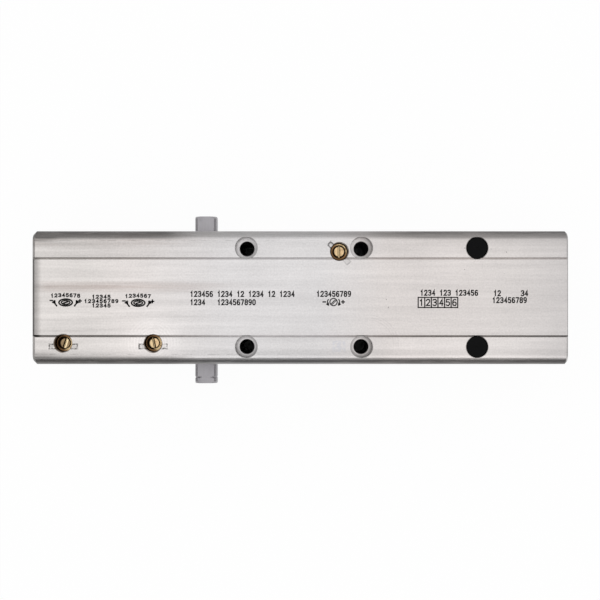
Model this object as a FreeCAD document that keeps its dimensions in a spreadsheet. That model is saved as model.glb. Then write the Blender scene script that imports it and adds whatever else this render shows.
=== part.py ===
"""Overhead door closer, as a parametric assembly of separate pieces.

X runs along the body, from the closing end to the spring end. Y runs along the pinion.
Z runs out of the mounting face. The origin is on the mounting face, under the pinion.
All sizes are in millimetres and live in one sheet, which every feature is bound to.
"""

import FreeCAD
import Part
import Sketcher

import math
import os
import re

SIZES = {
    # Extruded body
    "body_left": -77.5,
    "body_right": 166.5,
    "body_half_height": 30.5,
    "body_depth": 44.0,
    "front_edge_round": 5.0,
    "back_edge_chamfer": 1.0,
    "left_rim_chamfer": 1.4,
    "right_rim_chamfer": 0.8,
    "band_half_width": 17.7,
    "band_recess": 0.3,
    "band_groove_half_width": 0.45,
    "band_groove_depth": 0.65,
    # Main bore and its threaded ends
    "bore_radius": 17.0,
    "end_thread_step": 1.0,
    "left_thread_depth": 8.0,
    "right_thread_depth": 14.5,
    "mouth_chamfer": 0.5,
    # Mounting holes
    "first_hole_column": 20.0,
    "hole_column_pitch": 52.5,
    "hole_row": 22.5,
    "screw_hole_radius": 3.25,
    "counterbore_radius": 5.0,
    "counterbore_depth": 6.8,
    # Regulating valve holes and their staking dents
    "latching_valve_inset": 14.3,
    "closing_valve_x": -22.4,
    "backcheck_valve_x": 62.2,
    "valve_row": 20.8,
    "valve_hole_radius": 4.0,
    "valve_hole_depth": 13.0,
    "dent_half_length": 6.35,
    "dent_half_width": 1.0,
    "dent_depth": 0.25,
    "dent_shift": 1.5,
    "backcheck_dent_shift": 0.7,
    # Oil passages
    "gallery_rise": 2.0,
    "gallery_radius": 1.3,
    "ball_plug_radius": 2.0,
    "ball_plug_sink": 0.5,
    "port_radius": 0.8,
    "port_length": 14.0,
    "latching_port_gap": 0.2,
    "closing_port_run": 5.5,
    # Clearances of threads, fits and rings
    "thread_play": 0.05,
    "shaft_play": 0.05,
    "journal_play": 0.02,
    "nose_play": 0.1,
    "ring_play": 0.05,
    "seat_play": 0.05,
    # End plugs
    "plug_inset": 0.3,
    "plug_rim_chamfer": 0.8,
    "left_nose_length": 4.3,
    "right_nose_length": 5.7,
    "plug_groove_width": 2.0,
    "plug_groove_depth": 1.75,
    "plug_groove_inset": 1.1,
    "spanner_hole_radius": 2.0,
    "spanner_hole_depth": 4.5,
    "spanner_hole_pitch": 11.5,
    # Pinion
    "upper_protrusion": 8.0,
    "lower_protrusion": 9.5,
    "spindle_radius": 6.3,
    "square_half_flat": 5.0,
    "spindle_end_chamfer": 0.9,
    "spindle_groove_rise": 0.35,
    "spindle_groove_inset": 2.4,
    "spindle_groove_width": 0.8,
    "bearing_shoulder": 1.0,
    "gear_half_face": 11.0,
    "gear_side_relief": 0.5,
    "gear_bore_gap": 0.75,
    # Ball bearings
    "bearing_width": 5.0,
    "bearing_inner_radius": 7.5,
    "bearing_section": 4.5,
    "ball_radius": 1.19,
    "race_edge_chamfer": 0.2,
    "track_depth": 0.19,
    "ball_play": 0.06,
    "cage_half_thickness": 0.45,
    "cage_half_width": 1.7,
    # Bearing caps, seals and cap rings
    "bearing_wall": 1.0,
    "cap_thread_step": 1.0,
    "cap_inset": 0.3,
    "cap_rim_chamfer": 0.5,
    "cap_groove_run": 1.15,
    "cap_groove_width": 2.0,
    "cap_groove_depth": 1.55,
    "cap_pin_hole_radius": 1.5,
    "cap_pin_hole_depth": 1.4,
    "spindle_gap": 0.35,
    "seal_pocket_radius": 9.4,
    "cap_lip": 1.8,
    "seal_inset": 0.55,
    "seal_end_play": 0.1,
    "seal_lip_height": 0.75,
    "seal_lip_half_width": 0.8,
    # Piston
    "piston_play": 0.05,
    "piston_edge_chamfer": 0.8,
    "piston_stroke": 26.0,
    "window_play": 0.75,
    "rail_play": 0.65,
    "piston_end_gap": 2.7,
    "right_head_length": 20.0,
    "oil_groove_run": 7.0,
    "oil_groove_width": 1.2,
    "oil_groove_depth": 0.5,
    # Ball valves in the piston heads
    "valve_cavity_radius": 3.2,
    "valve_port_radius": 1.5,
    "valve_ball_radius": 2.5,
    "check_seat_wall": 8.0,
    "relief_seat_wall": 4.5,
    "relief_cavity_run": 2.0,
    "valve_plug_length": 2.6,
    "valve_plug_bore": 1.4,
    "valve_plug_inset": 0.4,
    "ball_seat_play": 0.02,
    # Springs
    "main_wire_radius": 2.25,
    "main_spring_gap": 1.15,
    "main_coil_turns": 10.0,
    "small_wire_radius": 0.3,
    "small_coil_radius": 2.0,
    "small_coil_turns": 6.0,
    # Spring adjusting screw and its follower
    "follower_thickness": 8.0,
    "follower_rest_gap": 3.4,
    "follower_play": 0.4,
    "follower_boss_play": 0.55,
    "follower_boss_length": 5.0,
    "follower_boss_chamfer": 1.0,
    "follower_thread_radius": 5.0,
    "follower_thread_play": 0.08,
    "adjuster_thread_length": 35.4,
    "adjuster_tip_chamfer": 1.0,
    "adjuster_collar_length": 2.8,
    "adjuster_collar_radius": 7.5,
    "adjuster_collar_play": 0.1,
    "adjuster_bore_radius": 5.0,
    "adjuster_inset": 1.1,
    "adjuster_groove_run": 8.7,
    "adjuster_groove_width": 2.2,
    "adjuster_groove_depth": 1.5,
    "hex_socket_half_flat": 2.5,
    "hex_socket_depth": 4.5,
    # Regulating valve screws
    "recessed_valve_depth": 3.6,
    "flush_valve_depth": 0.4,
    "valve_disc_radius": 2.5,
    "valve_edge_chamfer": 0.3,
    "valve_thread_depth": 7.1,
    "valve_groove_width": 2.0,
    "valve_groove_depth": 1.5,
    "valve_collar_length": 1.0,
    "valve_collar_play": 0.4,
    "valve_tip_length": 1.0,
    "valve_tip_radius": 1.2,
    "valve_moat_width": 0.5,
    "valve_moat_depth": 0.9,
    "valve_slot_half_width": 0.5,
    "valve_slot_depth": 1.3,
    # Caps over the unused holes
    "hole_cap_inset": 0.2,
    "hole_cap_play": 0.15,
    "hole_cap_wall": 0.95,
    "hole_cap_plate": 1.6,
    "hole_cap_height": 5.6,
    "hole_cap_edge": 0.35,
    "hole_cap_dimple_radius": 0.75,
    "hole_cap_dimple_depth": 0.3,
    # Gear and rack
    "gear_module": 1.5,
    "flank_play": 0.04,
    "pinion_addendum": 1.5,
    "pinion_dedendum": 1.85,
    "tooth_foot_depth": 0.4,
    "rack_addendum": 0.92,
    "rack_depth": 1.8,
    "rack_face_step": 0.5,
}

GEAR_TEETH = 11
PRESSURE_ANGLE = math.radians(20.0)
RACK_TEETH = 9
RACK_FIRST_TOOTH = -7
FLANK_STEPS = 4

# What follows from the sizes above, each written as a formula over them
FITS = {
    # Body
    "bore_centre_z": "body_depth / 2",
    "end_thread_radius": "bore_radius + end_thread_step",
    "left_thread_end": "body_left + left_thread_depth",
    "right_thread_end": "body_right - right_thread_depth",
    "second_hole_column": "first_hole_column + hole_column_pitch",
    "third_hole_column": "first_hole_column + 2 * hole_column_pitch",
    "latching_valve_x": "body_left + latching_valve_inset",
    "gallery_z": "body_depth - valve_hole_depth + gallery_rise",
    "latching_port_x": "left_nose_end + port_radius + latching_port_gap",
    "closing_port_x": "piston_left + closing_port_run",
    # End plugs
    "plug_thread_radius": "end_thread_radius - thread_play",
    "plug_nose_radius": "bore_radius - nose_play",
    "left_nose_end": "left_thread_end + left_nose_length",
    "right_nose_end": "right_thread_end - right_nose_length",
    "plug_groove_floor": "plug_nose_radius - plug_groove_depth",
    "plug_ring_section": "(bore_radius - ring_play - plug_groove_floor) / 2",
    # Pinion and gear
    "gear_pitch_radius": f"gear_module * {GEAR_TEETH} / 2",
    "gear_tip_radius": "gear_pitch_radius + pinion_addendum",
    "gear_root_radius": "gear_pitch_radius - pinion_dedendum",
    "gear_bore_radius": "gear_tip_radius + gear_bore_gap",
    "upper_spindle_end": "body_half_height + upper_protrusion",
    "lower_spindle_end": "body_half_height + lower_protrusion",
    "spindle_groove_radius": "square_half_flat + spindle_groove_rise",
    "journal_radius": "bearing_inner_radius - journal_play",
    "shoulder_radius": "bearing_inner_radius + bearing_shoulder",
    # Ball bearings
    "bearing_seat_start": "bore_radius + bearing_wall",
    "bearing_seat_end": "bearing_seat_start + bearing_width",
    "bearing_middle": "bearing_seat_end - bearing_width / 2",
    "bearing_outer_radius": "bearing_inner_radius + bearing_section",
    "race_thickness": "bearing_section / 2 - ball_radius + track_depth",
    "inner_race_radius": "bearing_inner_radius + race_thickness",
    "outer_race_radius": "bearing_outer_radius - race_thickness",
    "ball_circle_radius": "(inner_race_radius + outer_race_radius) / 2",
    "ball_space_radius": "ball_radius + ball_play",
    # Bearing caps and seals
    "cap_thread_radius": "bearing_outer_radius + cap_thread_step",
    "cap_radius": "cap_thread_radius - thread_play",
    "cap_inner_face": "bearing_seat_end + seat_play",
    "cap_outer_face": "body_half_height - cap_inset",
    "cap_bore_radius": "spindle_radius + spindle_gap",
    "cap_groove_start": "cap_inner_face + cap_groove_run",
    "cap_groove_end": "cap_groove_start + cap_groove_width",
    "cap_groove_radius": "cap_radius - cap_groove_depth",
    "cap_ring_section": "(cap_thread_radius - ring_play - cap_groove_radius) / 2",
    "cap_pin_hole_pitch": "(cap_bore_radius + cap_radius) / 2",
    "seal_pocket_end": "cap_outer_face - cap_lip",
    "seal_end": "seal_pocket_end - seal_end_play",
    "seal_start": "cap_inner_face + seal_inset",
    "seal_middle": "(seal_start + seal_end) / 2",
    "seal_outer_radius": "seal_pocket_radius - seat_play",
    "seal_lip_radius": "spindle_radius + shaft_play",
    "seal_body_radius": "seal_lip_radius + seal_lip_height",
    # Piston and rack
    "piston_radius": "bore_radius - piston_play",
    "window_left": "-(gear_tip_radius + piston_stroke + window_play)",
    "window_right": "gear_tip_radius + window_play",
    "window_rack_side": "rack_root_line - seat_play",
    "window_rail_side": "gear_tip_radius + rail_play",
    "piston_left": "left_nose_end + piston_end_gap",
    "piston_right": "window_right + right_head_length",
    "rack_pitch": f"{math.pi} * gear_module",
    "rack_tip_line": "gear_pitch_radius - rack_addendum",
    "rack_root_line": "gear_pitch_radius + rack_depth",
    "rack_pitch_half_width": "rack_pitch / 4 - flank_play",
    "rack_tip_half_width": "rack_pitch_half_width - rack_addendum * flank_slope",
    "rack_root_half_width": "rack_pitch_half_width + rack_depth * flank_slope",
    "flank_slope": f"{math.tan(PRESSURE_ANGLE)}",
    "rack_first_tooth": f"rack_pitch * {RACK_FIRST_TOOTH + 0.5}",
    "rack_half_face": "gear_half_face - rack_face_step",
    # Ball valves in the piston
    "seat_run": "valve_cavity_radius - valve_port_radius",
    "ball_back": "valve_ball_radius * sqrt(2) + ball_seat_play",
    "spring_on_ball": "sqrt(valve_ball_radius^2 - (small_coil_radius - small_wire_radius)^2)",
    "check_seat_x": "window_left - check_seat_wall",
    "check_ball_x": "check_seat_x + valve_cavity_radius - ball_back",
    "check_plug_x": "piston_left + valve_plug_inset",
    "relief_seat_x": "piston_right - relief_seat_wall",
    "relief_ball_x": "relief_seat_x - seat_run + valve_cavity_radius - ball_back",
    "relief_plug_x": "window_right + valve_plug_inset",
    # Spring pack
    "main_coil_radius": "bore_radius - main_wire_radius - main_spring_gap",
    "adjuster_collar_right": "right_nose_end - adjuster_collar_play",
    "adjuster_collar_left": "adjuster_collar_right - adjuster_collar_length",
    "adjuster_tip": "adjuster_collar_left - adjuster_thread_length",
    "adjuster_end": "body_right - adjuster_inset",
    "adjuster_thread_radius": "follower_thread_radius - follower_thread_play",
    "adjuster_shank_radius": "adjuster_bore_radius - shaft_play",
    "adjuster_groove_left": "right_nose_end + adjuster_groove_run",
    "adjuster_groove_right": "adjuster_groove_left + adjuster_groove_width",
    "adjuster_groove_floor": "adjuster_shank_radius - adjuster_groove_depth",
    "adjuster_ring_section": "(adjuster_bore_radius - ring_play - adjuster_groove_floor) / 2",
    "follower_right": "adjuster_collar_left - follower_rest_gap",
    "follower_left": "follower_right - follower_thickness",
    "follower_radius": "bore_radius - follower_play",
    "follower_boss_radius": "main_coil_radius - main_wire_radius - follower_boss_play",
    "follower_boss_left": "follower_left - follower_boss_length",
    # Regulating valve screws
    "recessed_valve_top": "body_depth - recessed_valve_depth",
    "flush_valve_top": "body_depth - flush_valve_depth",
    "valve_thread_radius": "valve_hole_radius - thread_play",
    "valve_thread_end": "body_depth - valve_thread_depth",
    "valve_groove_end": "valve_thread_end - valve_groove_width",
    "valve_groove_floor": "valve_thread_radius - valve_groove_depth",
    "valve_ring_section": "(valve_hole_radius - ring_play - valve_groove_floor) / 2",
    "valve_collar_radius": "valve_thread_radius - valve_collar_play",
    "valve_tip_shoulder": "valve_groove_end - valve_collar_length",
    "valve_tip_end": "valve_tip_shoulder - valve_tip_length",
    "valve_moat_radius": "valve_disc_radius + valve_moat_width",
    # Hole caps
    "hole_cap_top": "body_depth - hole_cap_inset",
    "hole_cap_bottom": "hole_cap_top - hole_cap_height",
    "hole_cap_radius": "counterbore_radius - hole_cap_play",
    "hole_cap_skirt_radius": "hole_cap_radius - hole_cap_wall",
}

BEARING_BALLS = 12
PORT_SLOPE = 40.0
SPRING_POINTS_PER_TURN = 16
CLOSED_TURNS = 1.25
CLOSED_PITCH_SHARE = 1.04
CUT_OVERRUN = 1.0

# How far each regulating screw's slot is turned from the X axis, in degrees
LATCHING_SLOT_TURN = 73.0
CLOSING_SLOT_TURN = 102.0
BACKCHECK_SLOT_TURN = 90.0

# How a sketch numbers the points of a line and of a circle, and its own origin and axes
LINE_START, LINE_END, CIRCLE_CENTRE = range(1, 4)
SKETCH_X_AXIS = -1
SKETCH_Y_AXIS = -2

NODES = []


def involute(angle):
    """Give the involute function of an angle in radians."""
    return math.tan(angle) - angle


def add_tooth_sizes():
    """Add the points of the pinion's involute flank, which no short formula gives, to the sizes."""
    pitch_radius = SIZES["gear_module"] * GEAR_TEETH / 2.0
    base_radius = pitch_radius * math.cos(PRESSURE_ANGLE)
    tip_radius = pitch_radius + SIZES["pinion_addendum"]
    half_tooth = math.pi / (2 * GEAR_TEETH) - SIZES["flank_play"] / pitch_radius
    for step in range(FLANK_STEPS + 1):
        radius = base_radius + (tip_radius - base_radius) * step / FLANK_STEPS
        roll = math.acos(min(1.0, base_radius / radius))
        half_angle = half_tooth + involute(PRESSURE_ANGLE) - involute(roll)
        SIZES[f"flank_across_{step}"] = radius * math.sin(half_angle)
        SIZES[f"flank_out_{step}"] = radius * math.cos(half_angle)


def add_sheet(document):
    """Write the table of sizes into the document's sheet, one alias for each size.

    Args:
        document: the document that gets the sheet.

    Returns:
        The sheet.
    """
    sheet = document.addObject("Spreadsheet::Sheet", "Sizes")
    for row, (name, value) in enumerate(SIZES.items(), start=1):
        sheet.set(f"A{row}", name)
        sheet.set(f"B{row}", repr(round(value, 6)))
        sheet.setAlias(f"B{row}", name)
    document.recompute()
    return sheet


def bound(text):
    """Give an expression in which each name is a sheet's size or the formula that it stands for."""

    def point(found):
        name = found.group(0)
        if name in FITS:
            return f"({bound(FITS[name])})"
        return f"Sizes.{name}" if name in SIZES else name

    return re.sub(r"[a-z][a-z_0-9]*", point, text)


def amount(owner, text):
    """Give the number that an expression has now."""
    value = owner.evalExpression(bound(text))
    return float(getattr(value, "Value", value))


def bind(target, prop, text):
    """Tie a property to an expression over the sheet."""
    target.setExpression(prop, bound(text))


def place(target, x_at="0", y_at="0", z_at="0"):
    """Tie the position of an object to three expressions."""
    bind(target, "Placement.Base.x", x_at)
    bind(target, "Placement.Base.y", y_at)
    bind(target, "Placement.Base.z", z_at)


def keep(target, label):
    """Name an object as one of the assembly's nodes."""
    target.Label = label
    NODES.append(target)
    return target


def new_body(document, label, x_at="0", y_at="0", z_at="0"):
    """Start a body at a bound position.

    Args:
        document: the document.
        label: the name of the node.
        x_at: the expression of the body's X.
        y_at: the expression of the body's Y.
        z_at: the expression of the body's Z.

    Returns:
        The body.
    """
    body = document.addObject("PartDesign::Body", label)
    place(body, x_at, y_at, z_at)
    return keep(body, label)


def origin_part(body, role):
    """Give the origin plane or axis of a body that has a role."""
    return next(part for part in body.Origin.OriginFeatures if part.Role == role)


def sketch_on(body, role, name, lift="0"):
    """Attach a sketch to an origin plane of a body.

    Args:
        body: the body.
        role: the plane's role.
        name: the name of the sketch.
        lift: the expression of its distance along the plane's normal.

    Returns:
        The sketch.
    """
    sketch = body.newObject("Sketcher::SketchObject", name)
    sketch.AttachmentSupport = (origin_part(body, role), [""])
    sketch.MapMode = "FlatFace"
    if lift != "0":
        bind(sketch, "AttachmentOffset.Base.z", lift)
    return sketch


def tie_point(sketch, geometry, corner, across, up):
    """Tie a point of a sketch to two expressions, measured from the sketch's origin."""
    for kind, axis, text in (
        ("DistanceX", SKETCH_Y_AXIS, across),
        ("DistanceY", SKETCH_X_AXIS, up),
    ):
        value = amount(sketch, text)
        if abs(value) < 1e-9:
            sketch.addConstraint(Sketcher.Constraint("PointOnObject", geometry, corner, axis))
            continue
        index = sketch.addConstraint(
            Sketcher.Constraint(kind, SKETCH_X_AXIS, LINE_START, geometry, corner, value)
        )
        bind(sketch, f"Constraints[{index}]", text)


def outline(sketch, corners):
    """Draw a closed outline whose corners are tied to expressions.

    Args:
        sketch: the sketch.
        corners: pairs of expressions, across and up.
    """
    points = [
        FreeCAD.Vector(amount(sketch, across), amount(sketch, up), 0) for across, up in corners
    ]
    first = sketch.GeometryCount
    count = len(points)
    for index, point in enumerate(points):
        sketch.addGeometry(Part.LineSegment(point, points[(index + 1) % count]), False)
    for index in range(count):
        following = first + (index + 1) % count
        sketch.addConstraint(
            Sketcher.Constraint("Coincident", first + index, LINE_END, following, LINE_START)
        )
    for index, (across, up) in enumerate(corners):
        tie_point(sketch, first + index, LINE_START, across, up)


def circle(sketch, across, up, radius):
    """Draw a circle whose centre and radius are tied to expressions."""
    centre = FreeCAD.Vector(amount(sketch, across), amount(sketch, up), 0)
    size = amount(sketch, radius)
    geometry = sketch.addGeometry(Part.Circle(centre, FreeCAD.Vector(0, 0, 1), size), False)
    tie_point(sketch, geometry, CIRCLE_CENTRE, across, up)
    index = sketch.addConstraint(Sketcher.Constraint("Radius", geometry, size))
    bind(sketch, f"Constraints[{index}]", radius)


def feature(body, kind, name, sketch=None):
    """Add a feature to a body, and its sketch where it has one."""
    made = body.newObject(f"PartDesign::{kind}", name)
    if sketch is not None:
        made.Profile = (sketch, [""])
        sketch.Visibility = False
    return made


def turn_about(made, sketch, axis):
    """Set a revolved feature to go all the way round one axis of its sketch."""
    made.ReferenceAxis = (sketch, [axis])
    made.Angle = 360.0
    return made


def turned(document, label, along, corners, x_at="0", y_at="0", z_at="0"):
    """Make a turned piece.

    Args:
        document: the document.
        label: the name of the node.
        along: the axis it is turned about, X, Y or Z.
        corners: pairs of expressions, the distance along the axis and the radius.
        x_at: the expression of the piece's X.
        y_at: the expression of the piece's Y.
        z_at: the expression of the piece's Z.

    Returns:
        The body.
    """
    body = new_body(document, label, x_at, y_at, z_at)
    role = "XZ_Plane" if along == "Z" else "XY_Plane"
    sketch = sketch_on(body, role, f"{label}_profile")
    if along == "X":
        outline(sketch, corners)
    else:
        outline(sketch, [(radius, along_at) for along_at, radius in corners])
    made = feature(body, "Revolution", f"{label}_turned", sketch)
    turn_about(made, sketch, "H_Axis" if along == "X" else "V_Axis")
    return body


def pocket(body, sketch, name, depth=None, forward=False):
    """Cut a sketch into a body.

    Args:
        body: the body.
        sketch: the sketch.
        name: the feature's name.
        depth: the expression of the depth, or None to cut through everything.
        forward: True to cut along the sketch's normal rather than against it.

    Returns:
        The feature.
    """
    made = feature(body, "Pocket", name, sketch)
    made.Reversed = forward
    if depth is None:
        made.Type = "ThroughAll"
    else:
        made.Type = "Length"
        bind(made, "Length", depth)
    return made


def ring(document, label, along, centre_radius, section, x_at="0", y_at="0", z_at="0"):
    """Make a rubber ring of round section.

    Args:
        document: the document.
        label: the name of the node.
        along: the axis of the ring, X, Y or Z.
        centre_radius: the expression of the radius to the middle of the section.
        section: the expression of the section's radius.
        x_at: the expression of the ring's X.
        y_at: the expression of the ring's Y.
        z_at: the expression of the ring's Z.

    Returns:
        The ring.
    """
    made = document.addObject("Part::Torus", label)
    bind(made, "Radius1", centre_radius)
    bind(made, "Radius2", section)
    turns = {
        "X": FreeCAD.Rotation(FreeCAD.Vector(0, 1, 0), 90),
        "Y": FreeCAD.Rotation(FreeCAD.Vector(1, 0, 0), 90),
        "Z": FreeCAD.Rotation(),
    }
    made.Placement = FreeCAD.Placement(FreeCAD.Vector(), turns[along])
    place(made, x_at, y_at, z_at)
    return keep(made, label)


def edges_where(shape, test):
    """Give the names of a shape's edges that pass a test."""
    return [f"Edge{index}" for index, edge in enumerate(shape.Edges, start=1) if test(edge)]


def along_x(edge):
    """Tell whether an edge runs along X."""
    return edge.BoundBox.YLength < 1e-6 and edge.BoundBox.ZLength < 1e-6


def dress(document, body, kind, name, size, test):
    """Round or chamfer the edges of a body's tip that pass a test.

    Args:
        document: the document.
        body: the body.
        kind: Fillet or Chamfer.
        name: the feature's name.
        size: the expression of its size.
        test: says which edges are dressed.
    """
    document.recompute()
    base = body.Tip
    names = edges_where(base.Shape, test)
    made = feature(body, kind, name)
    made.Base = (base, names)
    bind(made, "Radius" if kind == "Fillet" else "Size", size)


def make_closer_body(document):
    """Make the extruded body with its bores, holes, dents and oil passages."""
    body = new_body(document, "closer_body")
    section = sketch_on(body, "YZ_Plane", "body_section", "body_left")
    outline(
        section,
        [
            ("-body_half_height", "0"),
            ("body_half_height", "0"),
            ("body_half_height", "body_depth"),
            ("-body_half_height", "body_depth"),
        ],
    )
    extrusion = feature(body, "Pad", "extrusion", section)
    bind(extrusion, "Length", "body_right - body_left")
    depth = SIZES["body_depth"]
    left = SIZES["body_left"]
    right = SIZES["body_right"]
    dress(
        document,
        body,
        "Fillet",
        "front_edges",
        "front_edge_round",
        lambda edge: along_x(edge) and abs(edge.BoundBox.ZMax - depth) < 1e-6,
    )
    dress(
        document,
        body,
        "Chamfer",
        "back_edges",
        "back_edge_chamfer",
        lambda edge: along_x(edge) and abs(edge.BoundBox.ZMax) < 1e-6,
    )
    dress(
        document,
        body,
        "Chamfer",
        "left_rim",
        "left_rim_chamfer",
        lambda edge: edge.BoundBox.XMax < left + 1e-6,
    )
    dress(
        document,
        body,
        "Chamfer",
        "right_rim",
        "right_rim_chamfer",
        lambda edge: edge.BoundBox.XMin > right - 1e-6,
    )
    cut_face_bands(body)
    cut_bores(body)
    cut_screw_holes(body)
    cut_valve_holes(body)
    cut_passages(body)


def cut_face_bands(body):
    """Cut the recessed middle band of the front face and the groove on each side of it."""
    sketch = sketch_on(body, "YZ_Plane", "band_section", "body_left - 1")
    above = "body_depth + 1"
    outline(
        sketch,
        [
            ("-band_half_width - band_groove_half_width", above),
            ("-band_half_width - band_groove_half_width", "body_depth"),
            ("-band_half_width", "body_depth - band_groove_depth"),
            ("-band_half_width + band_groove_half_width", "body_depth - band_recess"),
            ("band_half_width - band_groove_half_width", "body_depth - band_recess"),
            ("band_half_width", "body_depth - band_groove_depth"),
            ("band_half_width + band_groove_half_width", "body_depth"),
            ("band_half_width + band_groove_half_width", above),
        ],
    )
    pocket(body, sketch, "face_bands", "body_right - body_left + 2", forward=True)


def cut_bores(body):
    """Cut the main bore along X and the pinion's stepped bore along Y."""
    main = sketch_on(body, "XY_Plane", "main_bore_profile", "bore_centre_z")
    mouth = "end_thread_radius + mouth_chamfer"
    outline(
        main,
        [
            ("body_left - 1", "0"),
            ("body_left - 1", mouth),
            ("body_left", mouth),
            ("body_left + mouth_chamfer", "end_thread_radius"),
            ("left_thread_end", "end_thread_radius"),
            ("left_thread_end", "bore_radius"),
            ("right_thread_end", "bore_radius"),
            ("right_thread_end", "end_thread_radius"),
            ("body_right - mouth_chamfer", "end_thread_radius"),
            ("body_right", mouth),
            ("body_right + 1", mouth),
            ("body_right + 1", "0"),
        ],
    )
    turn_about(feature(body, "Groove", "main_bore", main), main, "H_Axis")
    cross = sketch_on(body, "XY_Plane", "cross_bore_profile", "bore_centre_z")
    cap_mouth = "cap_thread_radius + mouth_chamfer"
    upper = [
        ("gear_bore_radius", "bearing_seat_start"),
        ("bearing_outer_radius", "bearing_seat_start"),
        ("bearing_outer_radius", "bearing_seat_end"),
        ("cap_thread_radius", "bearing_seat_end"),
        ("cap_thread_radius", "body_half_height - mouth_chamfer"),
        (cap_mouth, "body_half_height"),
        (cap_mouth, "body_half_height + 1"),
        ("0", "body_half_height + 1"),
    ]
    lower = [(radius, f"-({along_at})") for radius, along_at in reversed(upper)]
    outline(cross, lower + upper)
    turn_about(feature(body, "Groove", "cross_bore", cross), cross, "V_Axis")


def cut_screw_holes(body):
    """Cut the six screw holes and their counterbores."""
    through = sketch_on(body, "XY_Plane", "screw_hole_circles", "body_depth")
    wide = sketch_on(body, "XY_Plane", "counterbore_circles", "body_depth")
    for column in ("first_hole_column", "second_hole_column", "third_hole_column"):
        for row in ("hole_row", "-hole_row"):
            circle(through, column, row, "screw_hole_radius")
            circle(wide, column, row, "counterbore_radius")
    pocket(body, through, "screw_holes")
    pocket(body, wide, "counterbores", "counterbore_depth")


def cut_valve_holes(body):
    """Cut the three valve holes and the dents that keep their screws from coming out."""
    holes = sketch_on(body, "XY_Plane", "valve_hole_circles", "body_depth")
    circle(holes, "latching_valve_x", "-valve_row", "valve_hole_radius")
    circle(holes, "closing_valve_x", "-valve_row", "valve_hole_radius")
    circle(holes, "backcheck_valve_x", "valve_row", "valve_hole_radius")
    pocket(body, holes, "valve_holes", "valve_hole_depth")
    dents = sketch_on(body, "XY_Plane", "dent_outlines", "body_depth")
    for centre in ("latching_valve_x", "closing_valve_x"):
        low = "-valve_row - dent_shift - dent_half_width"
        high = "-valve_row - dent_shift + dent_half_width"
        outline(
            dents,
            [
                (f"{centre} - dent_half_length", low),
                (f"{centre} + dent_half_length", low),
                (f"{centre} + dent_half_length", high),
                (f"{centre} - dent_half_length", high),
            ],
        )
    far = "(dent_half_length + dent_half_width) / sqrt(2)"
    near = "(dent_half_length - dent_half_width) / sqrt(2)"
    middle = "valve_row - backcheck_dent_shift"
    outline(
        dents,
        [
            (f"backcheck_valve_x - {far}", f"{middle} + {near}"),
            (f"backcheck_valve_x + {near}", f"{middle} - {far}"),
            (f"backcheck_valve_x + {far}", f"{middle} - {near}"),
            (f"backcheck_valve_x - {near}", f"{middle} + {far}"),
        ],
    )
    pocket(body, dents, "staking_dents", "dent_depth")


def cut_passages(body):
    """Cut the oil gallery, its plugged mouth and the ports into the main bore."""
    gallery = sketch_on(body, "YZ_Plane", "gallery_circle", "body_left")
    circle(gallery, "-valve_row", "gallery_z", "gallery_radius")
    pocket(body, gallery, "gallery", "closing_valve_x - body_left", forward=True)
    mouth = sketch_on(body, "YZ_Plane", "gallery_mouth_circle", "body_left")
    circle(mouth, "-valve_row", "gallery_z", "ball_plug_radius")
    pocket(body, mouth, "gallery_mouth", "2 * ball_plug_radius + ball_plug_sink", forward=True)
    towards_bore = {"lower": PORT_SLOPE, "upper": -PORT_SLOPE}
    ports = (
        ("latching_port", "latching_port_x", "-valve_row", "lower"),
        ("closing_port", "closing_port_x", "-valve_row", "lower"),
        ("return_port", "closing_valve_x", "-valve_row", "lower"),
        ("backcheck_port", "backcheck_valve_x", "valve_row", "upper"),
    )
    for name, x_at, y_at, side in ports:
        port = feature(body, "SubtractiveCylinder", name)
        bind(port, "Radius", "port_radius")
        bind(port, "Height", "port_length")
        turn = FreeCAD.Rotation(FreeCAD.Vector(1, 0, 0), 180.0 + towards_bore[side])
        port.Placement = FreeCAD.Placement(FreeCAD.Vector(), turn)
        place(port, x_at, y_at, "gallery_z")


def add_spanner_holes(body, name, lift, pitch, radius, depth, role, forward):
    """Cut the two blind holes that a pin spanner turns a round cap by."""
    sketch = sketch_on(body, role, f"{name}_circles", lift)
    circle(sketch, pitch, "0", radius)
    circle(sketch, f"-{pitch}", "0", radius)
    pocket(body, sketch, name, depth, forward=forward)


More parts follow.
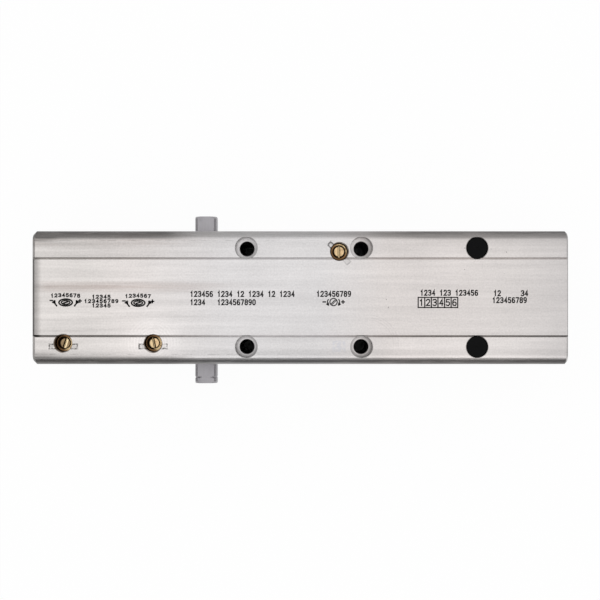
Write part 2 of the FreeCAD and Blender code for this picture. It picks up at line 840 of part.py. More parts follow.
def make_end_plugs(document):
    """Make the two screwed end plugs, their rings and the gallery's ball plug."""
    outer = "body_left + plug_inset"
    ring_near = "left_nose_end - plug_groove_inset"
    left = turned(
        document,
        "left_end_plug",
        "X",
        [
            (outer, "0"),
            (outer, "plug_thread_radius - plug_rim_chamfer"),
            (f"{outer} + plug_rim_chamfer", "plug_thread_radius"),
            ("left_thread_end", "plug_thread_radius"),
            ("left_thread_end", "plug_nose_radius"),
            (f"{ring_near} - plug_groove_width", "plug_nose_radius"),
            (f"{ring_near} - plug_groove_width", "plug_groove_floor"),
            (ring_near, "plug_groove_floor"),
            (ring_near, "plug_nose_radius"),
            ("left_nose_end", "plug_nose_radius"),
            ("left_nose_end", "0"),
        ],
        z_at="bore_centre_z",
    )
    add_spanner_holes(
        left,
        "left_spanner_holes",
        outer,
        "spanner_hole_pitch",
        "spanner_hole_radius",
        "spanner_hole_depth",
        "YZ_Plane",
        True,
    )
    ring(
        document,
        "left_plug_ring",
        "X",
        "plug_groove_floor + plug_ring_section",
        "plug_ring_section",
        x_at=f"{ring_near} - plug_groove_width / 2",
        z_at="bore_centre_z",
    )
    outer = "body_right - plug_inset"
    ring_near = "right_nose_end + plug_groove_inset"
    right = turned(
        document,
        "right_end_plug",
        "X",
        [
            ("right_nose_end", "adjuster_bore_radius"),
            ("right_nose_end", "plug_nose_radius"),
            (ring_near, "plug_nose_radius"),
            (ring_near, "plug_groove_floor"),
            (f"{ring_near} + plug_groove_width", "plug_groove_floor"),
            (f"{ring_near} + plug_groove_width", "plug_nose_radius"),
            ("right_thread_end", "plug_nose_radius"),
            ("right_thread_end", "plug_thread_radius"),
            (f"{outer} - plug_rim_chamfer", "plug_thread_radius"),
            (outer, "plug_thread_radius - plug_rim_chamfer"),
            (outer, "adjuster_bore_radius + mouth_chamfer"),
            (f"{outer} - mouth_chamfer", "adjuster_bore_radius"),
        ],
        z_at="bore_centre_z",
    )
    add_spanner_holes(
        right,
        "right_spanner_holes",
        outer,
        "spanner_hole_pitch",
        "spanner_hole_radius",
        "spanner_hole_depth",
        "YZ_Plane",
        False,
    )
    ring(
        document,
        "right_plug_ring",
        "X",
        "plug_groove_floor + plug_ring_section",
        "plug_ring_section",
        x_at=f"{ring_near} + plug_groove_width / 2",
        z_at="bore_centre_z",
    )
    ball = document.addObject("Part::Sphere", "gallery_ball_plug")
    bind(ball, "Radius", "ball_plug_radius")
    place(ball, "body_left + ball_plug_radius + ball_plug_sink", "-valve_row", "gallery_z")
    keep(ball, "gallery_ball_plug")


def mirrored(corners):
    """Give a profile mirrored along its axis, with its corners still in order."""
    return [(f"-({along_at})", radius) for along_at, radius in reversed(corners)]


def cut_square(body, name, lift, length, forward):
    """Cut a spindle end down to a square, leaving the round of its corners."""
    sketch = sketch_on(body, "XZ_Plane", f"{name}_outline", lift)
    outline(
        sketch,
        [
            ("-square_half_flat", "-square_half_flat"),
            ("square_half_flat", "-square_half_flat"),
            ("square_half_flat", "square_half_flat"),
            ("-square_half_flat", "square_half_flat"),
        ],
    )
    circle(sketch, "0", "0", f"spindle_radius + {CUT_OVERRUN}")
    pocket(body, sketch, name, length, forward=forward)


def make_pinion(document):
    """Make the pinion, with its square ends, journals and eleven teeth."""
    lower_groove_far = "-lower_spindle_end + spindle_groove_inset"
    lower_groove_near = f"{lower_groove_far} + spindle_groove_width"
    pinion = turned(
        document,
        "pinion",
        "Y",
        [
            ("-lower_spindle_end", "0"),
            ("-lower_spindle_end", "spindle_radius - spindle_end_chamfer"),
            ("-lower_spindle_end + spindle_end_chamfer", "spindle_radius"),
            (lower_groove_far, "spindle_radius"),
            (lower_groove_far, "spindle_groove_radius"),
            (lower_groove_near, "spindle_groove_radius"),
            (lower_groove_near, "spindle_radius"),
            ("-cap_inner_face", "spindle_radius"),
            ("-cap_inner_face", "journal_radius"),
            ("-bearing_seat_start", "journal_radius"),
            ("-bearing_seat_start", "shoulder_radius"),
            ("-gear_half_face - gear_side_relief", "shoulder_radius"),
            ("-gear_half_face", "gear_root_radius"),
            ("gear_half_face", "gear_root_radius"),
            ("gear_half_face + gear_side_relief", "shoulder_radius"),
            ("bearing_seat_start", "shoulder_radius"),
            ("bearing_seat_start", "journal_radius"),
            ("cap_inner_face", "journal_radius"),
            ("cap_inner_face", "spindle_radius"),
            ("upper_spindle_end - spindle_end_chamfer", "spindle_radius"),
            ("upper_spindle_end", "spindle_radius - spindle_end_chamfer"),
            ("upper_spindle_end", "0"),
        ],
        z_at="bore_centre_z",
    )
    tooth = sketch_on(pinion, "XZ_Plane", "tooth_outline", "-gear_half_face")
    steps = range(FLANK_STEPS + 1)
    left_flank = [(f"-flank_across_{step}", f"flank_out_{step}") for step in steps]
    right_flank = [(f"flank_across_{step}", f"flank_out_{step}") for step in reversed(steps)]
    foot_at = "gear_root_radius - tooth_foot_depth"
    foot = [("flank_across_0", foot_at), ("-flank_across_0", foot_at)]
    outline(tooth, left_flank + right_flank + foot)
    first = feature(pinion, "Pad", "tooth", tooth)
    bind(first, "Length", "2 * gear_half_face")
    teeth = feature(pinion, "PolarPattern", "teeth")
    teeth.Originals = [first]
    teeth.Axis = (origin_part(pinion, "Y_Axis"), [""])
    teeth.Angle = 360.0
    teeth.Occurrences = GEAR_TEETH
    pinion.Tip = teeth
    cut_square(
        pinion,
        "upper_square",
        "-body_half_height",
        f"upper_protrusion + {CUT_OVERRUN}",
        False,
    )
    cut_square(
        pinion,
        "lower_square",
        "body_half_height",
        f"lower_protrusion + {CUT_OVERRUN}",
        True,
    )


def make_bearing(document, side, sign):
    """Make one ball bearing, as two races, a cage and its balls.

    Args:
        document: the document.
        side: upper or lower.
        sign: an empty text for the upper side and a minus for the lower one.
    """
    middle = f"{sign}bearing_middle"
    half = "bearing_width / 2"
    outer = turned(
        document,
        f"{side}_bearing_outer_race",
        "Y",
        [
            (f"-{half}", "outer_race_radius"),
            (f"-{half}", "bearing_outer_radius - race_edge_chamfer"),
            (f"-{half} + race_edge_chamfer", "bearing_outer_radius"),
            (f"{half} - race_edge_chamfer", "bearing_outer_radius"),
            (half, "bearing_outer_radius - race_edge_chamfer"),
            (half, "outer_race_radius"),
        ],
        y_at=middle,
        z_at="bore_centre_z",
    )
    inner = turned(
        document,
        f"{side}_bearing_inner_race",
        "Y",
        [
            (f"-{half}", "bearing_inner_radius"),
            (f"-{half}", "inner_race_radius"),
            (half, "inner_race_radius"),
            (half, "bearing_inner_radius"),
        ],
        y_at=middle,
        z_at="bore_centre_z",
    )
    for race, name in ((outer, "outer_track"), (inner, "inner_track")):
        sketch = sketch_on(race, "XY_Plane", f"{side}_{name}_circle")
        circle(sketch, "ball_circle_radius", "0", "ball_space_radius")
        turn_about(feature(race, "Groove", f"{side}_{name}", sketch), sketch, "V_Axis")
    cage = turned(
        document,
        f"{side}_bearing_cage",
        "Y",
        [
            ("-cage_half_width", "ball_circle_radius - cage_half_thickness"),
            ("-cage_half_width", "ball_circle_radius + cage_half_thickness"),
            ("cage_half_width", "ball_circle_radius + cage_half_thickness"),
            ("cage_half_width", "ball_circle_radius - cage_half_thickness"),
        ],
        y_at=middle,
        z_at="bore_centre_z",
    )
    ball_pocket = feature(cage, "SubtractiveCylinder", f"{side}_cage_pocket")
    bind(ball_pocket, "Radius", "ball_space_radius")
    bind(ball_pocket, "Height", "4 * cage_half_thickness")
    outwards = FreeCAD.Rotation(FreeCAD.Vector(0, 1, 0), 90)
    ball_pocket.Placement = FreeCAD.Placement(FreeCAD.Vector(), outwards)
    place(ball_pocket, "ball_circle_radius - 2 * cage_half_thickness")
    pockets = feature(cage, "PolarPattern", f"{side}_cage_pockets")
    pockets.Originals = [ball_pocket]
    pockets.Axis = (origin_part(cage, "Y_Axis"), [""])
    pockets.Angle = 360.0
    pockets.Occurrences = BEARING_BALLS
    cage.Tip = pockets
    balls = []
    for index in range(BEARING_BALLS):
        turn = f"{index * 360.0 / BEARING_BALLS} deg"
        ball = document.addObject("Part::Sphere", f"{side}_ball_{index + 1}")
        bind(ball, "Radius", "ball_radius")
        place(
            ball,
            f"ball_circle_radius * cos({turn})",
            middle,
            f"bore_centre_z + ball_circle_radius * sin({turn})",
        )
        balls.append(ball)
    group = document.addObject("Part::Compound", f"{side}_bearing_balls")
    group.Links = balls
    keep(group, f"{side}_bearing_balls")


def make_cap(document, side, sign):
    """Make one screwed bearing cap with its shaft seal and outer ring.

    Args:
        document: the document.
        side: upper or lower.
        sign: an empty text for the upper side and a minus for the lower one.
    """
    cap_profile = [
        ("cap_inner_face", "seal_pocket_radius"),
        ("cap_inner_face", "cap_radius"),
        ("cap_groove_start", "cap_radius"),
        ("cap_groove_start", "cap_groove_radius"),
        ("cap_groove_end", "cap_groove_radius"),
        ("cap_groove_end", "cap_radius"),
        ("cap_outer_face - cap_rim_chamfer", "cap_radius"),
        ("cap_outer_face", "cap_radius - cap_rim_chamfer"),
        ("cap_outer_face", "cap_bore_radius + cap_rim_chamfer"),
        ("cap_outer_face - cap_rim_chamfer", "cap_bore_radius"),
        ("seal_pocket_end", "cap_bore_radius"),
        ("seal_pocket_end", "seal_pocket_radius"),
    ]
    seal_profile = [
        ("seal_start", "seal_body_radius"),
        ("seal_start", "seal_outer_radius"),
        ("seal_end", "seal_outer_radius"),
        ("seal_end", "seal_body_radius"),
        ("seal_middle + seal_lip_half_width", "seal_body_radius"),
        ("seal_middle", "seal_lip_radius"),
        ("seal_middle - seal_lip_half_width", "seal_body_radius"),
    ]
    if sign:
        cap_profile = mirrored(cap_profile)
        seal_profile = mirrored(seal_profile)
    cap = turned(
        document, f"{side}_bearing_cap", "Y", cap_profile, z_at="bore_centre_z"
    )
    add_spanner_holes(
        cap,
        f"{side}_cap_pin_holes",
        "cap_outer_face" if sign else "-cap_outer_face",
        "cap_pin_hole_pitch",
        "cap_pin_hole_radius",
        "cap_pin_hole_depth",
        "XZ_Plane",
        not sign,
    )
    turned(document, f"{side}_shaft_seal", "Y", seal_profile, z_at="bore_centre_z")
    ring(
        document,
        f"{side}_cap_ring",
        "Y",
        "cap_groove_radius + cap_ring_section",
        "cap_ring_section",
        y_at=f"{sign}((cap_groove_start + cap_groove_end) / 2)",
        z_at="bore_centre_z",
    )


def make_piston(document):
    """Make the piston with its window, rack, oil grooves and two ball valve cavities."""
    groove_one = "piston_left + oil_groove_run"
    groove_two = "piston_left + 2 * oil_groove_run"
    seat_radius = "valve_port_radius"
    piston = turned(
        document,
        "piston",
        "X",
        [
            ("piston_left", "valve_cavity_radius"),
            ("piston_left", "piston_radius - piston_edge_chamfer"),
            ("piston_left + piston_edge_chamfer", "piston_radius"),
            (groove_one, "piston_radius"),
            (groove_one, "piston_radius - oil_groove_depth"),
            (f"{groove_one} + oil_groove_width", "piston_radius - oil_groove_depth"),
            (f"{groove_one} + oil_groove_width", "piston_radius"),
            (groove_two, "piston_radius"),
            (groove_two, "piston_radius - oil_groove_depth"),
            (f"{groove_two} + oil_groove_width", "piston_radius - oil_groove_depth"),
            (f"{groove_two} + oil_groove_width", "piston_radius"),
            ("piston_right - piston_edge_chamfer", "piston_radius"),
            ("piston_right", "piston_radius - piston_edge_chamfer"),
            ("piston_right", seat_radius),
            ("relief_seat_x", seat_radius),
            ("relief_seat_x - seat_run", "valve_cavity_radius"),
            ("window_right - relief_cavity_run", "valve_cavity_radius"),
            ("window_right - relief_cavity_run", seat_radius),
            ("check_seat_x + seat_run", seat_radius),
            ("check_seat_x", "valve_cavity_radius"),
        ],
        z_at="bore_centre_z",
    )
    window = sketch_on(piston, "XZ_Plane", "window_outline", f"-piston_radius - {CUT_OVERRUN}")
    outline(
        window,
        [
            ("window_left", "-window_rail_side"),
            ("window_right", "-window_rail_side"),
            ("window_right", "window_rack_side"),
            ("window_left", "window_rack_side"),
        ],
    )
    pocket(piston, window, "window", f"2 * piston_radius + {2 * CUT_OVERRUN}", forward=True)
    tooth = sketch_on(piston, "XZ_Plane", "rack_tooth_outline", "-rack_half_face")
    outline(
        tooth,
        [
            ("rack_first_tooth - rack_tip_half_width", "rack_tip_line"),
            ("rack_first_tooth + rack_tip_half_width", "rack_tip_line"),
            ("rack_first_tooth + rack_root_half_width", "rack_root_line"),
            ("rack_first_tooth + rack_root_half_width", "rack_root_line + rack_face_step"),
            ("rack_first_tooth - rack_root_half_width", "rack_root_line + rack_face_step"),
            ("rack_first_tooth - rack_root_half_width", "rack_root_line"),
        ],
    )
    first = feature(piston, "Pad", "rack_tooth", tooth)
    bind(first, "Length", "2 * rack_half_face")
    rack = feature(piston, "LinearPattern", "rack")
    rack.Originals = [first]
    rack.Direction = (origin_part(piston, "X_Axis"), [""])
    bind(rack, "Length", f"{RACK_TEETH - 1} * rack_pitch")
    rack.Occurrences = RACK_TEETH
    piston.Tip = rack


def spring_shape(start, end, coil_radius, wire_radius, turns):
    """Wind a compression spring with closed and ground ends.

    Args:
        start: where its first flat end is, along X.
        end: where its second flat end is, along X.
        coil_radius: the radius to the middle of the wire.
        wire_radius: the radius of the wire.
        turns: the number of turns, the closed ones included.

    Returns:
        The solid, about the X axis.
    """
    closed_pitch = 2.0 * wire_radius * CLOSED_PITCH_SHARE
    closed_run = CLOSED_TURNS * closed_pitch
    open_turns = turns - 2.0 * CLOSED_TURNS
    free_run = end - start - 2.0 * closed_run
    points = []
    count = int(turns * SPRING_POINTS_PER_TURN)
    for index in range(count + 1):
        turn = turns * index / count
        if turn <= CLOSED_TURNS:
            along = turn * closed_pitch
        elif turn >= turns - CLOSED_TURNS:
            along = end - start - (turns - turn) * closed_pitch
        else:
            share = (turn - CLOSED_TURNS) / open_turns
            closed_share = closed_pitch * open_turns
            eased = share - math.sin(2.0 * math.pi * share) / (2.0 * math.pi)
            along = closed_run + closed_share * share + (free_run - closed_share) * eased
        angle = 2.0 * math.pi * turn
        points.append(
            FreeCAD.Vector(
                start + along, coil_radius * math.cos(angle), coil_radius * math.sin(angle)
            )
        )
    curve = Part.BSplineCurve()
    curve.interpolate(points)
    direction = curve.tangent(curve.FirstParameter)[0]
    section = Part.Wire([Part.Circle(points[0], direction, wire_radius).toShape()])
    wire = Part.Wire([curve.toShape()])
    swept = wire.makePipeShell([section], True, True)
    reach = coil_radius + wire_radius + CUT_OVERRUN
    slab = Part.makeBox(
        end - start, 2.0 * reach, 2.0 * reach, FreeCAD.Vector(start, -reach, -reach)
    )
    return swept.common(slab)


def add_spring(document, label, start, end, coil_radius, wire_radius, turns):
    """Add a wound spring to the document, about the bore's axis."""
    sheet = document.getObject("Sizes")
    values = [amount(sheet, text) for text in (start, end, coil_radius, wire_radius, turns)]
    solid = spring_shape(*values)
    made = document.addObject("Part::Feature", label)
    made.Shape = solid.Solids[0] if len(solid.Solids) == 1 else solid
    place(made, z_at="bore_centre_z")
    return keep(made, label)


def make_ball_valve(document, name):
    """Make the ball, spring and hollow plug of one of the piston's two ball valves.

    Args:
        document: the document.
        name: check or relief.
    """
    ball = document.addObject("Part::Sphere", f"{name}_ball")
    bind(ball, "Radius", "valve_ball_radius")
    place(ball, f"{name}_ball_x", "0", "bore_centre_z")
    keep(ball, f"{name}_ball")
    plug_left = f"{name}_plug_x"
    plug_right = f"{name}_plug_x + valve_plug_length"
    turned(
        document,
        f"{name}_valve_plug",
        "X",
        [
            (plug_left, "valve_plug_bore"),
            (plug_left, "valve_cavity_radius"),
            (plug_right, "valve_cavity_radius"),
            (plug_right, "valve_plug_bore"),
        ],
        z_at="bore_centre_z",
    )
    add_spring(
        document,
        f"{name}_spring",
        plug_right,
        f"{name}_ball_x - spring_on_ball - ball_seat_play",
        "small_coil_radius",
        "small_wire_radius",
        "small_coil_turns",
    )


def make_spring_pack(document):
    """Make the main spring, its follower, and the screw and ring that set its load."""
    add_spring(
        document,
        "main_spring",
        "piston_right",
        "follower_left",
        "main_coil_radius",
        "main_wire_radius",
        "main_coil_turns",
    )
    turned(
        document,
        "spring_follower",
        "X",
        [
            ("follower_boss_left", "follower_thread_radius"),
            ("follower_boss_left", "follower_boss_radius - follower_boss_chamfer"),
            ("follower_boss_left + follower_boss_chamfer", "follower_boss_radius"),
            ("follower_left", "follower_boss_radius"),
            ("follower_left", "follower_radius"),
            ("follower_right", "follower_radius"),
            ("follower_right", "follower_thread_radius"),
        ],
        z_at="bore_centre_z",
    )
    screw = turned(
        document,
        "adjusting_screw",
        "X",
        [
            ("adjuster_tip", "0"),
            ("adjuster_tip", "adjuster_thread_radius - adjuster_tip_chamfer"),
            ("adjuster_tip + adjuster_tip_chamfer", "adjuster_thread_radius"),
            ("adjuster_collar_left", "adjuster_thread_radius"),
            ("adjuster_collar_left", "adjuster_collar_radius"),
            ("adjuster_collar_right", "adjuster_collar_radius"),
            ("adjuster_collar_right", "adjuster_shank_radius"),
            ("adjuster_groove_left", "adjuster_shank_radius"),
            ("adjuster_groove_left", "adjuster_groove_floor"),
            ("adjuster_groove_right", "adjuster_groove_floor"),
            ("adjuster_groove_right", "adjuster_shank_radius"),
            ("adjuster_end - mouth_chamfer", "adjuster_shank_radius"),
            ("adjuster_end", "adjuster_shank_radius - mouth_chamfer"),
            ("adjuster_end", "0"),
        ],
        z_at="bore_centre_z",
    )
    socket = sketch_on(screw, "YZ_Plane", "socket_outline", "adjuster_end")
    corner = "hex_socket_half_flat / cos(30 deg)"
    outline(
        socket,
        [
            (f"{corner} * cos({60 * turn + 30} deg)", f"{corner} * sin({60 * turn + 30} deg)")
            for turn in range(6)
        ],
    )
    pocket(screw, socket, "hex_socket", "hex_socket_depth")
    ring(
        document,
        "adjusting_screw_ring",
        "X",
        "adjuster_groove_floor + adjuster_ring_section",
        "adjuster_ring_section",
        x_at="(adjuster_groove_left + adjuster_groove_right) / 2",
        z_at="bore_centre_z",
    )


def make_valve(document, name, x_at, y_at, top, slot_turn):
    """Make one brass regulating screw with its ring.

    Args:
        document: the document.
        name: the valve's name.
        x_at: the expression of its X.
        y_at: the expression of its Y.
        top: the expression of the height of its slotted end.
        slot_turn: how far its slot is turned from the X axis, in degrees.
    """
    valve = turned(
        document,
        f"{name}_valve",
        "Z",
        [
            ("valve_tip_end", "0"),
            ("valve_tip_end", "valve_tip_radius"),
            ("valve_tip_shoulder", "valve_collar_radius"),
            ("valve_groove_end", "valve_collar_radius"),
            ("valve_groove_end", "valve_groove_floor"),
            ("valve_thread_end", "valve_groove_floor"),
            ("valve_thread_end", "valve_thread_radius"),
            (f"{top} - valve_edge_chamfer", "valve_thread_radius"),
            (top, "valve_thread_radius - valve_edge_chamfer"),
            (top, "valve_moat_radius"),
            (f"{top} - valve_moat_depth", "valve_moat_radius"),
            (f"{top} - valve_moat_depth", "valve_disc_radius"),
            (f"{top} - valve_edge_chamfer", "valve_disc_radius"),
            (top, "valve_disc_radius - valve_edge_chamfer"),
            (top, "0"),
        ],
        x_at=x_at,
        y_at=y_at,
    )
    slot = sketch_on(valve, "XY_Plane", f"{name}_slot_outline", top)
    reach = "(valve_disc_radius + valve_edge_chamfer)"
    wide = "valve_slot_half_width"
    along = f"cos({slot_turn} deg)"
    across = f"sin({slot_turn} deg)"
    outline(
        slot,
        [
            (
                f"{side_a}{reach} * {along} - {side_b}{wide} * {across}",
                f"{side_a}{reach} * {across} + {side_b}{wide} * {along}",
            )
            for side_a, side_b in (("-", "-"), ("", "-"), ("", ""), ("-", ""))
        ],
    )
    pocket(valve, slot, f"{name}_slot", "valve_slot_depth")
    ring(
        document,
        f"{name}_valve_ring",
        "Z",
        "valve_groove_floor + valve_ring_section",
        "valve_ring_section",
        x_at=x_at,
        y_at=y_at,
        z_at="(valve_thread_end + valve_groove_end) / 2",
    )


def make_hole_cap(document, side, y_at):
    """Make one plastic cap over an unused screw hole."""
    turned(
        document,
        f"{side}_hole_cap",
        "Z",
        [
            ("hole_cap_top - hole_cap_dimple_depth", "0"),
            ("hole_cap_top", "hole_cap_dimple_radius"),
            ("hole_cap_top", "hole_cap_radius - hole_cap_edge"),
            ("hole_cap_top - hole_cap_edge", "hole_cap_radius"),
            ("hole_cap_bottom + hole_cap_edge", "hole_cap_radius"),
            ("hole_cap_bottom", "hole_cap_radius - hole_cap_edge"),
            ("hole_cap_bottom", "hole_cap_skirt_radius"),
            ("hole_cap_top - hole_cap_plate", "hole_cap_skirt_radius"),
            ("hole_cap_top - hole_cap_plate", "0"),
        ],
        x_at="third_hole_column",
        y_at=y_at,
    )


def check_and_write(document):
    """Check every object of the document, then write one STEP file for each node."""
    document.recompute()
    for item in document.Objects:
        if "Invalid" in item.State or "Error" in item.State:
            raise RuntimeError(f"{item.Label} did not compute: {item.State}")
    os.makedirs("parts", exist_ok=True)
    for node in NODES:
        shape = node.Shape
        if shape.isNull() or not shape.isValid() or not shape.Solids:
            raise RuntimeError(f"{node.Label} has no valid solid")
        shape.exportStep(f"parts/{node.Label}.step")
        print(f"{node.Label}: {len(shape.Solids)} solid, {shape.Volume:.1f} mm3")


def main():
    """Build the whole door closer."""
    add_tooth_sizes()
    document = FreeCAD.newDocument("door_closer")
    add_sheet(document)
    make_closer_body(document)
    make_end_plugs(document)
    make_pinion(document)
    for side, sign in (("upper", ""), ("lower", "-")):
        make_bearing(document, side, sign)
        make_cap(document, side, sign)
    make_piston(document)
    make_ball_valve(document, "check")
    make_ball_valve(document, "relief")
    make_spring_pack(document)
    deep = "recessed_valve_top"
    flush = "flush_valve_top"
    make_valve(document, "latching", "latching_valve_x", "-valve_row", deep, LATCHING_SLOT_TURN)
    make_valve(document, "closing", "closing_valve_x", "-valve_row", deep, CLOSING_SLOT_TURN)
    make_valve(document, "backcheck", "backcheck_valve_x", "valve_row", flush, BACKCHECK_SLOT_TURN)
    make_hole_cap(document, "upper", "hole_row")
    make_hole_cap(document, "lower", "-hole_row")
    check_and_write(document)


main()
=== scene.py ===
"""Overhead door closer: the packed CAD pieces, their finishes, the printed marks and the studio.

X runs along the body, Y along the pinion and Z out of the mounting face. Lengths are in metres
where Blender takes them, and in millimetres where a name ends in _mm or a class says so.
"""

import logging
import math
from dataclasses import dataclass, field
from enum import Enum
from typing import Any, Callable, Protocol, Sequence, Union

import bmesh
import bpy
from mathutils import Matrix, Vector

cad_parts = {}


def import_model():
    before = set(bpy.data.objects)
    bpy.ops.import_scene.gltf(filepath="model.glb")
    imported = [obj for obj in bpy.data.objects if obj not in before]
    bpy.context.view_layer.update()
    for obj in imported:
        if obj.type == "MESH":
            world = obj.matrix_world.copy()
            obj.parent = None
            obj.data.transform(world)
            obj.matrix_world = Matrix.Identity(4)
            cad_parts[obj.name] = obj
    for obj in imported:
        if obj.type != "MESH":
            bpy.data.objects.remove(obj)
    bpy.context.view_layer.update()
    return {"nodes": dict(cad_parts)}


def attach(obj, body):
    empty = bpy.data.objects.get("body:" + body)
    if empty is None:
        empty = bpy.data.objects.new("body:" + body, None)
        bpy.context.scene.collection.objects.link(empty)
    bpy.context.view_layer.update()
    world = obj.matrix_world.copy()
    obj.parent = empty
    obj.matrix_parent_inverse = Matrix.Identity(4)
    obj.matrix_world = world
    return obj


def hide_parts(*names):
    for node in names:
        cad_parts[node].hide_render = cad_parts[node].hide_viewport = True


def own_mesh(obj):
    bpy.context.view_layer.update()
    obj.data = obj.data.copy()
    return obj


LOG = logging.getLogger("door_closer")
MM = 0.001

Number = Union[int, float]
Point = tuple[float, float]
Place = tuple[float, float, float]
Colour = tuple[float, float, float]
Nodes = dict[str, bpy.types.Object]
WHITE: Colour = (1.0, 1.0, 1.0)


class Axis(Enum):
    """An axis of the part."""

    X = 0
    Y = 1
    Z = 2


class Side(Enum):
    """The side of the body that a bearing, cap or seal is on."""

    UPPER = "upper"
    LOWER = "lower"


# Shader expressions


def math_node(operation: str, doc: str, last: bool = False) -> Callable[..., "Wire"]:
    """Make a method of Wire that adds a Math node.

    Args:
        operation: the node's operation.
        doc: what the method does.
        last: whether the wire goes in after the method's argument.

    Returns:
        The method.
    """

    def method(wire: "Wire", *others: "Value") -> "Wire":
        """Add the node."""
        values = (*others, wire) if last else (wire, *others)
        return wire.shader.node("ShaderNodeMath", {"operation": operation}, *values)

    method.__doc__ = doc
    return method


class Wire:
    """An output socket that takes part in Python expressions, each of which adds a Math node."""

    def __init__(self, shader: "Shader", socket: Union[bpy.types.NodeSocket, None]) -> None:
        """Wrap a socket of a shader's node tree."""
        self.shader = shader
        self.socket = socket

    __add__ = __radd__ = math_node("ADD", "Add.")
    __sub__ = math_node("SUBTRACT", "Subtract.")
    __rsub__ = math_node("SUBTRACT", "Subtract from a number.", last=True)
    __mul__ = __rmul__ = math_node("MULTIPLY", "Multiply.")
    __truediv__ = math_node("DIVIDE", "Divide.")
    __rtruediv__ = math_node("DIVIDE", "Divide a number.", last=True)
    __pow__ = math_node("POWER", "Raise to a power.")
    __rpow__ = math_node("POWER", "Raise a number to the value.", last=True)
    __abs__ = math_node("ABSOLUTE", "Give the size without the sign.")
    over = math_node("GREATER_THAN", "Give 1 where the value is over an edge and 0 elsewhere.")
    under = math_node("LESS_THAN", "Give 1 where the value is under an edge and 0 elsewhere.")
    least = math_node("MINIMUM", "Give the smaller of two values.")
    most = math_node("MAXIMUM", "Give the larger of two values.")
    sine = math_node("SINE", "Give the sine of the value.")
    repeated = math_node("FLOORED_MODULO", "Give what is left over a whole number of lengths.")

    def __neg__(self) -> "Wire":
        """Change the sign."""
        return self * -1.0

    def waves(self, rate: Number) -> "Wire":
        """Give waves between 0 and 1, at a rate in radians for each step of the value."""
        return (self * rate).sine() * 0.5 + 0.5

    def span(self, low: Number, high: Number, to_low: Number = 0.0, to_high: Number = 1.0) -> "Wire":
        """Map a range of the value smoothly onto another one, and hold it outside.

        Args:
            low: the value that gives to_low.
            high: the value that gives to_high.
            to_low: the result at low.
            to_high: the result at high.

        Returns:
            The mapped value.
        """
        settings = {"interpolation_type": "SMOOTHSTEP"}
        return self.shader.node("ShaderNodeMapRange", settings, self, low, high, to_low, to_high)


Value = Union[Wire, Number, Colour]


